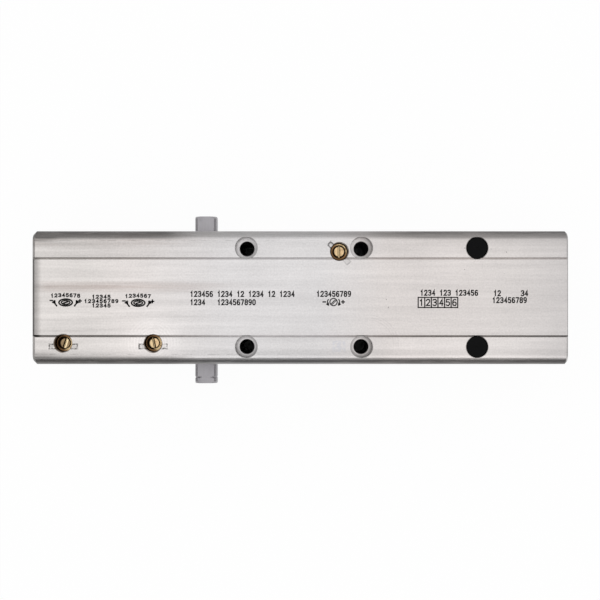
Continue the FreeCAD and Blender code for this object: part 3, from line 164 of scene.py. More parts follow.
class Shader:
    """A node tree of a material or a world, built from expressions."""

    def __init__(self, tree: bpy.types.NodeTree) -> None:
        """Start with an empty tree."""
        self.tree = tree
        tree.nodes.clear()

    def put(self, node: bpy.types.Node, slot: Union[int, str], value: Value) -> None:
        """Link or set one input of a node.

        Args:
            node: the node.
            slot: the input's number or name.
            value: its value, or what to link.
        """
        socket = node.inputs[slot]
        if isinstance(value, Wire):
            self.tree.links.new(value.socket, socket)
        elif isinstance(value, tuple) and socket.type == "RGBA":
            socket.default_value = (*value, 1.0)
        else:
            socket.default_value = value

    def node(
        self,
        kind: str,
        settings: Union[dict[str, Any], None] = None,
        *values: Value,
        out: Union[int, str] = 0,
        **named: Value,
    ) -> Wire:
        """Add a node.

        Args:
            kind: the node's type.
            settings: its settings, which are set first; stops are a colour ramp's.
            values: the values or links of its first sockets, in order.
            out: which output is wanted.
            named: values or links of sockets by name, with _ for a space.

        Returns:
            The wanted output, or an empty wire where the node has none.
        """
        node = self.tree.nodes.new(kind)
        for name, value in (settings or {}).items():
            if name == "stops":
                self._set_stops(node.color_ramp, value)
            else:
                setattr(node, name, value)
        for index, value in enumerate(values):
            self.put(node, index, value)
        for name, value in named.items():
            self.put(node, name.replace("_", " "), value)
        return Wire(self, node.outputs[out] if len(node.outputs) else None)

    @staticmethod
    def _set_stops(ramp: bpy.types.ColorRamp, stops: Sequence[tuple[float, Colour]]) -> None:
        """Set the stops of a colour ramp.

        Args:
            ramp: the colour ramp.
            stops: the place and the colour of each stop.
        """
        while len(ramp.elements) > 1:
            ramp.elements.remove(ramp.elements[-1])
        for index, (place, colour) in enumerate(stops):
            element = ramp.elements[0] if index == 0 else ramp.elements.new(place)
            element.position = place
            element.color = (*colour, 1.0)

    def mix(self, share: Value, first: Value, second: Value) -> Wire:
        """Mix two colours.

        Args:
            share: how much of the second colour shows, from 0 to 1.
            first: the first colour.
            second: the second colour.

        Returns:
            The mixed colour.
        """
        node = self.tree.nodes.new("ShaderNodeMix")
        node.data_type = "RGBA"
        for slot, value in ((0, share), (6, first), (7, second)):
            self.put(node, slot, value)
        return Wire(self, node.outputs[2])

    def times(self, vector: Value, by: Value) -> Wire:
        """Multiply a colour or a place by another one, or by a number over the surface."""
        return self.node("ShaderNodeVectorMath", {"operation": "MULTIPLY"}, vector, by)

    def place(self) -> Wire:
        """Give the place on the part, in metres in the part's frame."""
        return self.node("ShaderNodeTexCoord", None, out="Object")

    def parts(self, vector: Wire) -> tuple[Wire, Wire, Wire]:
        """Split a vector into its three numbers."""
        split = self.node("ShaderNodeSeparateXYZ", None, vector).socket.node
        return tuple(Wire(self, output) for output in split.outputs)

    def where(self) -> tuple[Wire, Wire, Wire]:
        """Give the place on the part along each axis, in metres."""
        return self.parts(self.place())

    def facing(self) -> tuple[Wire, Wire, Wire]:
        """Give how far the surface faces along each axis, from -1 to 1."""
        return self.parts(self.node("ShaderNodeNewGeometry", None, out="Normal"))

    def flat(self) -> Wire:
        """Give 1 where the surface is level with the face, and 0 on edges and walls."""
        return self.facing()[2].over(0.9)

    def wall(self) -> Wire:
        """Give 1 where the surface is the wall of a hole or a side, and 0 elsewhere."""
        return abs(self.facing()[2]).under(0.5)

    def noise(self, scale: Union[Number, Place], detail: Number = 2.0, rough: Number = 0.5) -> Wire:
        """Give a noise between 0 and 1 over the part, with one scale or one for each axis.

        Args:
            scale: how fine it is, over all or along each axis.
            detail: how many finer layers it has.
            rough: how strong the finer layers are.

        Returns:
            The noise.
        """
        place = self.place()
        if isinstance(scale, tuple):
            place = self.times(place, scale)
            scale = 1.0
        kind = "ShaderNodeTexNoise"
        return self.node(kind, None, Vector=place, Scale=scale, Detail=detail, Roughness=rough)

    def cells(self, scale: Number) -> Wire:
        """Give the distance to the nearest of many scattered points."""
        return self.node("ShaderNodeTexVoronoi", None, Vector=self.place(), Scale=scale)

    def bump(self, height: Value, strength: Number, depth: Number) -> Wire:
        """Give a normal bumped by a height of 0 to 1, where 1 is a depth in metres."""
        return self.node("ShaderNodeBump", None, Strength=strength, Distance=depth, Height=height)

    def radius(self, centre: Place, axis: Axis) -> Wire:
        """Give the distance from a line along an axis through a point."""
        steps = [part - centre[index] for index, part in enumerate(self.where()) if index != axis.value]
        return (steps[0] * steps[0] + steps[1] * steps[1]) ** 0.5

    def skin(self, colour: Value, roughness: Value, normal: Wire, **more: Value) -> Wire:
        """Give a surface, with more values of its sockets by name where they aren't the usual ones."""
        usual = {"Base_Color": colour, "Roughness": roughness, "Normal": normal}
        return self.node("ShaderNodeBsdfPrincipled", None, **usual, **more)

    def end(self, surface: Wire, output: str = "ShaderNodeOutputMaterial") -> None:
        """Link the finished shader to the tree's output."""
        self.node(output, None, surface)


def new_material(name: str, surface: Callable[[Shader], Wire]) -> bpy.types.Material:
    """Make a material from a function that gives its shader.

    Args:
        name: the material's name.
        surface: gives its shader.

    Returns:
        The material.
    """
    material = bpy.data.materials.new(name)
    material.use_nodes = True
    shader = Shader(material.node_tree)
    shader.end(surface(shader))
    return material


# Finishes


class Finish(Protocol):
    """The looks of a surface."""

    def surface(self, shader: Shader) -> Wire:
        """Give the surface's shader."""


@dataclass(frozen=True)
class SatinExtrusion:
    """Extruded and satin-finished aluminium, with die lines, tool marks, recesses and handling marks.

    Rows are across the face and columns along it. A level is the height over the mounting face
    above which something shows.
    """

    left: Colour = (0.672, 0.640, 0.620)
    left_middle: Colour = (0.690, 0.652, 0.635)
    middle: Colour = (0.686, 0.669, 0.670)
    right_middle: Colour = (0.694, 0.653, 0.636)
    right: Colour = (0.674, 0.639, 0.624)
    right_end: Colour = (0.598, 0.571, 0.564)
    stained: Colour = (0.835, 0.785, 0.765)
    # The colour of the painted shade on the valve holes' walls and in a ring beside each.
    valve_hole_shade_colour: Colour = (0.085, 0.058, 0.036)
    smudged: Colour = (0.50, 0.53, 0.62)
    roughness: float = 0.33
    ends: Point = (-0.0775, 0.1665)
    groove_row: float = 0.0177
    groove_shade_rows: Point = (0.01801, 0.01740)
    groove_level: float = 0.0431
    hole_row: float = 0.0225
    hole_column: float = 0.020
    hole_pitch: float = 0.0525
    first_hole: float = 0.010
    counterbore_radius: float = 0.0051
    counterbore_wall: float = 0.0052
    counterbore_floor: Point = (0.0367, 0.0373)
    screw_radius: float = 0.0034
    # Where the painted dark ring at each counterbore's rim lies, and above which level.
    rim_shade_radius: float = 0.00508
    rim_shade_level: float = 0.0436
    valve_row: float = 0.0208
    valve_columns: tuple[float, float, float] = (-0.0632, -0.0224, 0.0622)
    valve_sides: tuple[float, float, float] = (-1.0, -1.0, 1.0)
    # Where the ring of painted shade beside each valve hole lies.
    valve_ring: Point = (0.00440, 0.00424)
    valve_ring_shifts: tuple[Point, Point, Point] = (
        (-0.00018, -0.00006),
        (-0.00002, -0.00018),
        (0.00018, 0.00008),
    )
    dent_row: float = -0.0223
    dent_size: Point = (0.00635, 0.0010)
    dent_level: float = 0.0433
    backcheck_dent: Point = (0.0622, 0.0201)
    smudge_place: Point = (0.0622, 0.0222)
    stain_row: float = 0.0048
    stain_level: float = 0.042
    swirl_rate: float = 4600.0
    faint_swirl: Place = (0.0755, -0.0218, 0.0)
    faint_swirl_rate: float = 5600.0
    # Where the painted shade along the crease of each long edge lies, and above which level.
    crease_row: float = 0.0259
    crease_level: float = 0.0430
    rounding_row: float = 0.0254
    rounding_level: float = 0.0380
    rims: Point = (-0.0760, 0.1655)

    def tone(self, shader: Shader) -> Wire:
        """Give the base colour along the body, warmer at its ends.

        Args:
            shader: the node tree that it is built in.

        Returns:
            The colour.
        """
        stops = [
            (0.10, self.left),
            (0.18, self.left_middle),
            (0.36, self.middle),
            (0.54, self.middle),
            (0.66, self.right_middle),
            (0.80, self.right_middle),
            (0.90, self.right),
            (1.0, self.right_end),
        ]
        share = shader.node("ShaderNodeMapRange", None, shader.where()[0], *self.ends, 0.0, 1.0)
        return shader.node("ShaderNodeValToRGB", {"stops": stops}, share)

    def die_lines_and_painted_light(self, shader: Shader) -> tuple[Wire, Wire]:
        """Give the light and dark of the die lines, and their height.

        Args:
            shader: the node tree that it is built in.

        Returns:
            The light and dark, about 0, and the height, from 0 to 1.
        """
        along, across, _ = shader.where()
        wide = shader.noise((12.0, 300.0, 300.0), 3.0, 0.6)
        fine = shader.noise((48.0, 1500.0, 1500.0), 3.0, 0.65)
        hair = shader.noise((60.0, 6200.0, 6200.0), 2.0, 0.6)
        mottle = shader.noise(1300.0, 2.0, 0.7)
        cloud = shader.noise(55.0, 3.0)
        strength = along.span(0.030, -0.060, 0.60, 1.0)
        light = (wide - 0.5) * strength * 0.50 + (fine - 0.5) * strength * 0.24
        light = light + (hair - 0.5) * 0.06 + (mottle - 0.5) * 0.32 + (cloud - 0.5) * 0.12
        # Painted light and shade on the left: darker towards the upper edge and lighter towards the
        # lower one, with lighter painted patches on the middle band.
        left = along.span(0.045, -0.020)
        band = abs(across).under(self.groove_row)
        light = light + left * (across * -1.2 + across.span(0.007, 0.013) * band * 0.030)
        light = light + abs(along + 0.030).span(0.030, 0.006) * across.under(self.groove_row) * 0.045
        stain = abs(across - self.stain_row).span(0.0048, 0.0014)
        light = light - stain * along.span(0.005, -0.015) * 0.050
        # Painted shade on the upper band at the left and beside both long edges, and painted light on
        # the lower band at the right.
        light = light - along.span(-0.015, -0.045) * across.over(self.groove_row) * 0.10
        light = light - left * across.span(0.0220, 0.0238) * 0.06 - (-across).span(0.0230, 0.0246) * 0.07
        lower_right = along.span(0.080, 0.095) * along.span(0.165, 0.135)
        light = light + lower_right * across.under(-self.groove_row) * 0.080
        return light, fine * 0.6 + hair * 0.4

    def stains(self, shader: Shader) -> Wire:
        """Give where the left half is stained brown: along its middle, and beside its upper edge.

        Args:
            shader: the node tree that it is built in.

        Returns:
            How stained the face is, from 0 to 1.
        """
        along, across, up = shader.where()
        worn = shader.noise((25.0, 900.0, 900.0), 3.0, 0.65)
        middle = abs(across - self.stain_row).span(0.0032, 0.0006) * along.span(0.032, -0.032)
        middle = middle * along.span(-0.0785, -0.0690) * worn.span(0.32, 0.60, 0.40, 1.0)
        edge = across.span(0.0215, 0.0262) * along.span(0.010, -0.030) * worn.span(0.35, 0.65)
        return (middle + edge * 0.6) * up.over(self.stain_level)

    def swirls(self, shader: Shader) -> Wire:
        """Give the arcs that a facing tool left round two of the holes.

        Args:
            shader: the node tree that it is built in.

        Returns:
            The light that the arcs add.
        """
        along, across, _ = shader.where()
        bright = shader.radius((self.valve_columns[1], -self.valve_row, 0.0), Axis.Z)
        rings = bright.waves(self.swirl_rate)
        patch = shader.noise(120.0, 2.0).span(0.35, 0.60)
        bright = bright.span(0.0165, 0.0060) * (0.065 + rings * patch * 0.100)
        faint = shader.radius(self.faint_swirl, Axis.Z)
        band = faint.span(0.0104, 0.0108) * faint.span(0.0146, 0.0138)
        lines = (faint * self.faint_swirl_rate).sine().span(0.1, 0.9)
        corner = along.span(0.074, 0.080) * across.span(-0.026, -0.020)
        return (bright - band * lines * corner * 0.07) * shader.flat()

    def painted_groove_shade(self, shader: Shader) -> Wire:
        """Give how dark the two grooves are.

        Args:
            shader: the node tree that it is built in.

        Returns:
            How dark they make the face, as a share.
        """
        along, across, up = shader.where()
        left = along.span(0.025, -0.045)
        right = along.span(0.045, 0.110)
        upper_row, lower_row = self.groove_shade_rows
        upper = abs(across - upper_row).span(0.00036, 0.00014) * (0.12 + left * 0.34 + right * 0.06)
        lower = abs(across + lower_row + right * 0.00011).span(0.00044, 0.00026)
        return (upper + lower * (0.04 + left * 0.62 + right * 0.50)) * up.over(self.groove_level)

    def painted_screw_hole_shade(self, shader: Shader) -> Wire:
        """Give how dark the counterbores' floors, walls and burrs are, and the screw holes in them.

        Args:
            shader: the node tree that it is built in.

        Returns:
            How dark they make the face, as a share.
        """
        along, across, up = shader.where()
        face_z = shader.facing()[2]
        upper = across.over(0.0)
        row = abs(across) - self.hole_row
        north = row * (upper * 2.0 - 1.0)
        half_pitch = self.hole_pitch / 2.0
        column = (along - (self.hole_column - half_pitch)).repeated(self.hole_pitch) - half_pitch
        distance = (column * column + row * row) ** 0.5
        screwed = along.over(self.first_hole)
        low, high = self.counterbore_floor
        floor = screwed * distance.under(self.counterbore_radius) * up.under(high) * up.over(low)
        floor = floor * face_z.over(0.5)
        # Painted highlight on one side of each counterbore floor, painted shade near its wall (more on
        # the lower holes), and a painted dark ring round each screw hole.
        lit = (north - column) / distance.most(0.001)
        outline = (1.0 - upper) * distance.span(0.0039, 0.0044) * 0.20
        outline = distance.span(0.0045, 0.0048) * 0.12 + outline
        shade = 0.13 - lit * (0.12 + upper * 0.09) + outline
        floor = floor * shade + floor * distance.span(0.00352, 0.00342)
        # Painted shade on the counterbore walls, darker deeper down.
        wall = screwed * distance.under(self.counterbore_wall) * up.over(low) * shader.wall()
        wall = wall * (0.10 + up.span(0.0405, 0.0372) * 0.20)
        # Painted shade: a thin dark ring at each counterbore's rim.
        rim_shade = abs(distance - self.rim_shade_radius).span(0.00022, 0.00006)
        rim_shade = screwed * rim_shade * up.over(self.rim_shade_level)
        # Painted shade in the screw holes, so that they read dark.
        bore = screwed * distance.under(self.screw_radius) * abs(face_z).under(0.7) * up.under(0.0372)
        return floor + wall + rim_shade * 0.45 + bore * 0.80

    def crease_shade_and_patch(self, shader: Shader) -> Wire:
        """Give how dark the worn long edges are, and the rubbed patch at the upper right.

        Args:
            shader: the node tree that it is built in.

        Returns:
            How dark they make the face, as a share.
        """
        along, across, up = shader.where()
        # Painted shade along the crease of each long edge, broken up by a noise and stronger at the
        # left.
        worn = shader.noise((220.0, 900.0, 900.0), 3.0, 0.7)
        edge = abs(abs(across) - self.crease_row).span(0.00036, 0.00012) * worn.span(0.44, 0.64)
        edge = edge * along.span(0.060, 0.000, 0.30, 1.0) * up.over(self.crease_level)
        # A darker patch on the face at the upper right.
        rubbed = across.span(0.0222, 0.0240) * along.span(0.085, 0.105) * shader.flat()
        return edge * 0.22 + rubbed * 0.07

    def painted_valve_hole_shade(self, shader: Shader) -> Wire:
        """Give how oily the walls of the three valve holes are, and a thin ring beside each.

        Args:
            shader: the node tree that it is built in.

        Returns:
            How oily they are, from 0 to 1.
        """
        spots = zip(self.valve_columns, self.valve_sides, self.valve_ring_shifts)
        rings = []
        for column, side, (east, north) in spots:
            centre = (column + east, side * self.valve_row + north, 0.0)
            rings.append(shader.radius(centre, Axis.Z).span(*self.valve_ring))
        # A noise that breaks up the rings of painted shade; the walls take it fully.
        blotches = shader.noise(420.0, 2.0).span(0.30, 0.55, 0.55, 0.92)
        return rings[0].most(rings[1]).most(rings[2]) * blotches.most(shader.wall())

    def dent_edge_shade(self, along: Wire, across: Wire) -> Wire:
        """Give a thin worn line round a dent whose own two directions are given, and its dirt."""
        reach = (abs(along) - self.dent_size[0]).most(abs(across) - self.dent_size[1])
        return abs(reach).span(0.00050, 0.00014).most(reach.under(0.0) * 0.30)

    def painted_dent_shade(self, shader: Shader) -> Wire:
        """Give how dark the edges of the staking dents are, broken up along their length.

        Args:
            shader: the node tree that it is built in.

        Returns:
            How dark they make the face, as a share.
        """
        along, across, up = shader.where()
        low = across - self.dent_row
        edges = self.dent_edge_shade(along - self.valve_columns[0], low)
        edges = edges.most(self.dent_edge_shade(along - self.valve_columns[1], low))
        east = along - self.backcheck_dent[0]
        north = across - self.backcheck_dent[1]
        half = 0.5**0.5
        turned = self.dent_edge_shade((east - north) * half, (east + north) * half)
        broken = shader.noise(760.0, 3.0, 0.7).span(0.36, 0.60, 0.10, 1.0)
        faint = east.span(0.0, 0.0020) * across.over(0.0) * 0.55
        return edges.most(turned * (1.0 - faint)) * broken * up.over(self.dent_level) * 0.90

    def painted_edge_shade(self, shader: Shader) -> Wire:
        """Give how much darker the long rounded edges and the end rims are, most of all at the ends.

        Args:
            shader: the node tree that it is built in.

        Returns:
            How dark they make the face, as a share.
        """
        along, across, up = shader.where()
        face_x, face_y, face_z = shader.facing()
        left = along.span(0.0, -0.020)
        right = along.span(0.060, 0.100)
        # Painted shade on the rounded long edges, strongest at the left end, with light painted on the
        # outer part of the lower edge away from the ends.
        upper = face_y.span(0.56, 0.84) * (0.42 - left * 0.14)
        upper = upper + face_y.span(0.05, 0.38) * left * 0.50 + face_y.span(0.10, 0.42) * right * 0.32
        down = -face_y
        lower = down.span(0.50, 0.74) * 0.72 + down.span(0.78, 0.92) * ((left + right) * 0.21 - 0.17)
        lower = lower + left * (down.span(0.12, 0.40) * 0.38 - down.span(0.52, 0.70) * 0.36)
        # Painted highlight along the lower edge, away from the left end.
        painted_edge_highlight = down.span(0.15, 0.35) * down.span(0.52, 0.40) * (1.0 - left) * 0.26
        # worn is only a noise that breaks up the painted shade.
        worn = shader.noise((90.0, 500.0, 500.0), 3.0, 0.6)
        long_edge = (upper + lower - painted_edge_highlight) * worn.span(0.25, 0.60, 0.86, 1.06)
        long_edge = long_edge * face_z.span(0.02, 0.25) * abs(across).over(self.rounding_row)
        # Painted shade on the end rims and at the left corners.
        facing_up = face_z.span(0.1, 0.3)
        left_edge = (-face_x).span(0.4, 0.6) * facing_up * along.under(self.rims[0])
        right_edge = face_x.span(0.4, 0.6) * facing_up * along.over(self.rims[1])
        corner = along.span(-0.062, -0.072) * abs(across).span(0.0246, 0.0256) * shader.flat()
        edges = long_edge + left_edge * 0.30 + right_edge * 0.20 + corner * 0.22
        return edges * up.over(self.rounding_level)

    def smudge(self, shader: Shader) -> Wire:
        """Give the grey smudge under the backcheck screw.

        Args:
            shader: the node tree that it is built in.

        Returns:
            How strong the smudge is, from 0 to 1.
        """
        along, across, _ = shader.where()
        east = abs(along - self.smudge_place[0]).span(0.0036, 0.0024)
        north = abs(across + self.smudge_place[1]).span(0.0030, 0.0020)
        smudge = shader.noise(700.0, 2.0).span(0.35, 0.60) * east * north
        return smudge * shader.flat() * 0.30

    def surface(self, shader: Shader) -> Wire:
        """Give the surface's shader.

        Args:
            shader: the node tree that it is built in.

        Returns:
            The shader of the surface.
        """
        along, across, _ = shader.where()
        end_face = abs(shader.facing()[0]).span(0.75, 0.95)
        light, height = self.die_lines_and_painted_light(shader)
        sawn = shader.noise((900.0, 180.0, 3200.0), 3.0, 0.6)
        light = light * (1.0 - end_face) + (sawn - 0.5) * end_face * 0.30 + self.swirls(shader)
        # Painted shade on the left end of the middle band.
        left_rim_shade = along.span(-0.0728, -0.0762) * abs(across).under(self.groove_row) * 0.44
        specks = shader.cells(260.0).under(0.075) * shader.noise(38.0, 1.0).over(0.64)
        # The painted shade of the groove lines, counterbores, creases, dent edges, long edges and left
        # rim, and the real dark specks.
        dark = self.painted_groove_shade(shader) + self.painted_screw_hole_shade(shader) + self.crease_shade_and_patch(shader)
        dark = dark + self.painted_dent_shade(shader) + self.painted_edge_shade(shader)
        dark = (dark + left_rim_shade + specks * 0.40).least(0.97)
        colour = shader.times(self.tone(shader), (1.0 + light) * (1.0 - dark))
        colour = shader.mix(self.stains(shader), colour, shader.times(colour, self.stained))
        # Painted shade in and beside the valve holes.
        colour = shader.mix(self.painted_valve_hole_shade(shader), colour, self.valve_hole_shade_colour)
        colour = shader.mix(self.smudge(shader), colour, self.smudged)
        roughness = self.roughness + height * 0.12 + specks * 0.2
        normal = shader.bump(height + sawn * end_face * 0.8 - specks * 0.6, 0.35, 0.00005)
        return shader.skin(colour, roughness, normal, Metallic=1.0)


@dataclass(frozen=True)
class MachinedSteel:
    """Steel that a tool has left with fine lines, round an axis or along one."""

    centre: Place
    colour: Colour = (0.50, 0.49, 0.51)
    stain: Colour = (0.30, 0.29, 0.30)
    roughness: float = 0.34
    axis: Axis = Axis.Y
    pitch: float = 0.00025

    def surface(self, shader: Shader) -> Wire:
        """Give the surface's shader.

        Args:
            shader: the node tree that it is built in.

        Returns:
            The shader of the surface.
        """
        rate = 2.0 * math.pi / self.pitch
        lathe = shader.where()[self.axis.value].waves(rate) * 0.5
        faces = shader.radius(self.centre, self.axis).waves(rate) * 0.5
        scratches = shader.noise((2600.0, 160.0, 2600.0), 3.0)
        cloud = shader.noise(160.0, 3.0, 0.6)
        pits = shader.cells(900.0).under(0.10) * shader.noise(120.0, 1.0).over(0.58)
        colour = shader.mix(cloud.span(0.52, 0.75) * 0.55 + pits * 0.4, self.colour, self.stain)
        colour = shader.times(colour, 0.90 + scratches * 0.20)
        roughness = self.roughness + cloud * 0.14 + pits * 0.2
        normal = shader.bump(lathe + faces + scratches * 0.6 - pits, 0.30, 0.00004)
        return shader.skin(colour, roughness, normal, Metallic=1.0)


@dataclass(frozen=True)
class PolishedSteel:
    """Ground and polished bearing steel."""

    colour: Colour = (0.66, 0.66, 0.67)
    clouded: Colour = (0.58, 0.59, 0.62)
    roughness: float = 0.12

    def surface(self, shader: Shader) -> Wire:
        """Give the surface's shader.

        Args:
            shader: the node tree that it is built in.

        Returns:
            The shader of the surface.
        """
        lines = shader.noise((400.0, 5000.0, 400.0), 2.0)
        cloud = shader.noise(350.0, 3.0)
        colour = shader.times(shader.mix(cloud, self.colour, self.clouded), 0.95 + lines * 0.1)
        normal = shader.bump(lines, 0.15, 0.00002)
        return shader.skin(colour, self.roughness + cloud * 0.08, normal, Metallic=1.0)


@dataclass(frozen=True)
class TurnedBrass:
    """Brass turned round an axis, with dark oil in what lies under its top."""

    centre: Place
    axis: Axis
    colour: Colour = (0.66, 0.46, 0.22)
    dark: Colour = (0.060, 0.032, 0.014)
    roughness: float = 0.27
    ring_rate: float = 26000.0

    def surface(self, shader: Shader) -> Wire:
        """Give the surface's shader.

        Args:
            shader: the node tree that it is built in.

        Returns:
            The shader of the surface.
        """
        rings = shader.radius(self.centre, self.axis).waves(self.ring_rate)
        scuffs = shader.noise((700.0, 2400.0, 700.0), 3.0)
        cloud = shader.noise(620.0, 3.0, 0.6)
        colour = shader.mix(cloud.span(0.50, 0.75) * 0.5, self.colour, self.dark)
        colour = shader.times(colour, 0.86 + scuffs * 0.28)
        normal = shader.bump(rings * 0.5 + scuffs * 0.5, 0.3, 0.00004)
        return shader.skin(colour, self.roughness + cloud * 0.12, normal, Metallic=1.0)


@dataclass(frozen=True)
class ScrewBrass:
    """The brass of one regulating screw: a clean disc, a dark moat and slot, and a tarnished rim."""

    centre: Place
    slot_turn: float
    lit_side: float
    lit_slot: Point
    half_shine: float
    crescent: float
    level: float = 1.45
    slot_highlight: Point = (0.0, 0.0)
    moat_glint: float = 0.85
    outer_shade: float = 0.0
    disc: Colour = (0.46, 0.32, 0.18)
    shine: Colour = (0.86, 0.66, 0.38)
    strip_shine: Colour = (0.98, 0.80, 0.50)
    tarnish: Colour = (0.200, 0.112, 0.052)
    # Painted shade colour of the moat, the slot's edges, the rim's outer edge and the dark crescent.
    moat: Colour = (0.014, 0.007, 0.003)
    disc_radius: float = 0.0025
    moat_radius: float = 0.0030
    slot_half_width: float = 0.0005
    soft: float = 0.0002
    ring_rate: float = 24000.0

    def surface(self, shader: Shader) -> Wire:
        """Give the surface's shader.

        Args:
            shader: the node tree that it is built in.

        Returns:
            The shader of the surface.
        """
        along, across, up = shader.where()
        east = along - self.centre[0]
        north = across - self.centre[1]
        distance = (east * east + north * north) ** 0.5
        slot = math.radians(self.slot_turn)
        beside = north * math.cos(slot) - east * math.sin(slot)
        lit = math.radians(self.lit_side)
        turned = (east * math.cos(lit) + north * math.sin(lit)) / distance.most(0.0001)
        cut = shader.noise((3600.0, 500.0, 500.0), 3.0, 0.6)
        cloud = shader.noise(900.0, 3.0, 0.65)
        rings = distance.waves(self.ring_rate)
        disc = shader.mix(cut.span(0.42, 0.70) * 0.55, self.disc, self.shine)
        disc = shader.times(disc, (self.level, self.level, self.level))
        disc = shader.mix(cloud.span(0.50, 0.72) * 0.55, disc, self.tarnish)
        # Painted highlight on one half of the disc, beside the slot.
        disc = shader.mix(beside.span(-self.soft, self.soft) * self.half_shine, disc, self.shine)
        # Painted shade along the slot's edges, and a painted highlight in a band beside the slot.
        slot_edge_shade = abs(abs(beside) - self.slot_half_width).span(0.00022, 0.00008)
        disc = shader.mix(slot_edge_shade * 0.50, disc, self.moat)
        first, last = self.slot_highlight
        slot_highlight = beside.span(first, first + self.soft) * beside.span(last, last - self.soft)
        disc = shader.mix(slot_highlight * cloud.span(0.25, 0.50, 0.5, 1.0), disc, self.strip_shine)
        # Painted highlight on the rim's lit side, and painted shade towards its outer edge and in an arc
        # on the lit side.
        rim_highlight = turned.span(0.15, 0.95) * cloud.span(0.30, 0.55)
        rim = shader.mix(rim_highlight * 0.85, self.tarnish, self.shine)
        rim = shader.mix(distance.span(0.0036, 0.0039) * 0.75, rim, self.moat)
        outer = distance.span(0.0034, 0.0036) * turned.span(0.1, 0.7) * self.outer_shade
        rim = shader.mix(outer, rim, self.moat)
        # Painted shade in the moat and the slot, with a painted glint on their lit side.
        sunk = up.span(self.centre[2] - 0.00004, self.centre[2] - 0.00016)
        low, high = self.lit_slot
        in_slot = beside.over(low) * beside.under(high) * distance.under(self.disc_radius)
        glint = distance.over(self.disc_radius) * turned.span(0.0, 0.7) * self.moat_glint
        glint = glint.most(in_slot * 0.95)
        under = shader.mix(glint * cloud.span(0.20, 0.42), self.moat, self.shine)
        top = shader.mix(distance.over((self.disc_radius + self.moat_radius) / 2.0), disc, rim)
        # Painted shade: a dark crescent on the side away from the light.
        inner = self.disc_radius - 0.0004
        dark_side = (-turned).span(0.10, 0.75) * distance.span(inner - 0.0003, inner)
        dark_side = dark_side * distance.span(0.00355, 0.00325) * self.crescent
        top = shader.mix(dark_side, top, self.moat)
        roughness = 0.26 + cloud * 0.16 + sunk * 0.15
        normal = shader.bump(rings * 0.4 + cut * 0.6, 0.35, 0.00004)
        return shader.skin(shader.mix(sunk, top, under), roughness, normal, Metallic=1.0)


@dataclass(frozen=True)
class GroundIron:
    """Ground cast iron, with its fine grain."""

    colour: Colour = (0.32, 0.32, 0.33)
    clouded: Colour = (0.22, 0.22, 0.235)

    def surface(self, shader: Shader) -> Wire:
        """Give the surface's shader.

        Args:
            shader: the node tree that it is built in.

        Returns:
            The shader of the surface.
        """
        grain = shader.noise(2600.0, 4.0, 0.7)
        rings = shader.noise((2200.0, 60.0, 60.0), 2.0)
        colour = shader.mix(shader.noise(90.0, 2.0), self.colour, self.clouded)
        colour = shader.times(colour, 0.85 + grain * 0.3)
        normal = shader.bump(grain * 0.6 + rings * 0.4, 0.3, 0.00005)
        return shader.skin(colour, 0.36 + grain * 0.2, normal, Metallic=1.0)


@dataclass(frozen=True)
class DrawnWire:
    """Oil-tempered spring wire, dark with a blue cast and drawn lines."""

    colour: Colour = (0.26, 0.26, 0.28)
    worn: Colour = (0.42, 0.40, 0.38)

    def surface(self, shader: Shader) -> Wire:
        """Give the surface's shader.

        Args:
            shader: the node tree that it is built in.

        Returns:
            The shader of the surface.
        """
        scale = shader.noise(500.0, 4.0, 0.65)
        rubbed = shader.noise(70.0, 2.0).span(0.5, 0.7)
        colour = shader.times(shader.mix(rubbed, self.colour, self.worn), 0.8 + scale * 0.4)
        normal = shader.bump(scale, 0.3, 0.00005)
        return shader.skin(colour, 0.30 + scale * 0.22, normal, Metallic=0.9)


@dataclass(frozen=True)
class MouldedRubber:
    """Black sealing rubber with a dull bloom."""

    colour: Colour = (0.018, 0.018, 0.019)
    bloom: Colour = (0.05, 0.05, 0.052)

    def surface(self, shader: Shader) -> Wire:
        """Give the surface's shader.

        Args:
            shader: the node tree that it is built in.

        Returns:
            The shader of the surface.
        """
        grain = shader.noise(4000.0, 2.0)
        colour = shader.mix(shader.noise(300.0, 3.0) * 0.5, self.colour, self.bloom)
        normal = shader.bump(grain, 0.25, 0.00004)
        return shader.skin(colour, 0.55 + grain * 0.2, normal, Specular_IOR_Level=0.3)


@dataclass(frozen=True)
class MouldedPlastic:
    """Black moulded plastic with a fine spark-eroded grain and a few scuffs."""

    colour: Colour = (0.0030, 0.0030, 0.0032)
    scuffed: Colour = (0.016, 0.016, 0.017)

    def surface(self, shader: Shader) -> Wire:
        """Give the surface's shader.

        Args:
            shader: the node tree that it is built in.

        Returns:
            The shader of the surface.
        """
        grain = shader.noise(5200.0, 2.0, 0.6)
        scuffs = shader.noise((500.0, 3600.0, 500.0), 2.0).span(0.66, 0.74)
        pale = scuffs * 0.3 + shader.noise(420.0, 3.0) * 0.15
        colour = shader.mix(pale, self.colour, self.scuffed)
        normal = shader.bump(grain, 0.35, 0.00005)
        return shader.skin(colour, 0.50 + grain * 0.25, normal, Specular_IOR_Level=0.06)


@dataclass(frozen=True)
class PrintingInk:
    """Black printing ink, thin enough to break up a little on the die lines."""

    colour: Colour = (0.006, 0.0055, 0.006)
    thinned: Colour = (0.07, 0.067, 0.066)

    def surface(self, shader: Shader) -> Wire:
        """Give the surface's shader.

        Args:
            shader: the node tree that it is built in.

        Returns:
            The shader of the surface.
        """
        blots = shader.noise(2400.0, 3.0, 0.7)
        thin = shader.noise((300.0, 5200.0, 300.0), 2.0).span(0.60, 0.78)
        colour = shader.mix(thin * 0.40 + blots * 0.10, self.colour, self.thinned)
        normal = shader.bump(blots, 0.2, 0.00002)
        return shader.skin(colour, 0.55 + blots * 0.2, normal, Specular_IOR_Level=0.10)


# Sub-assemblies


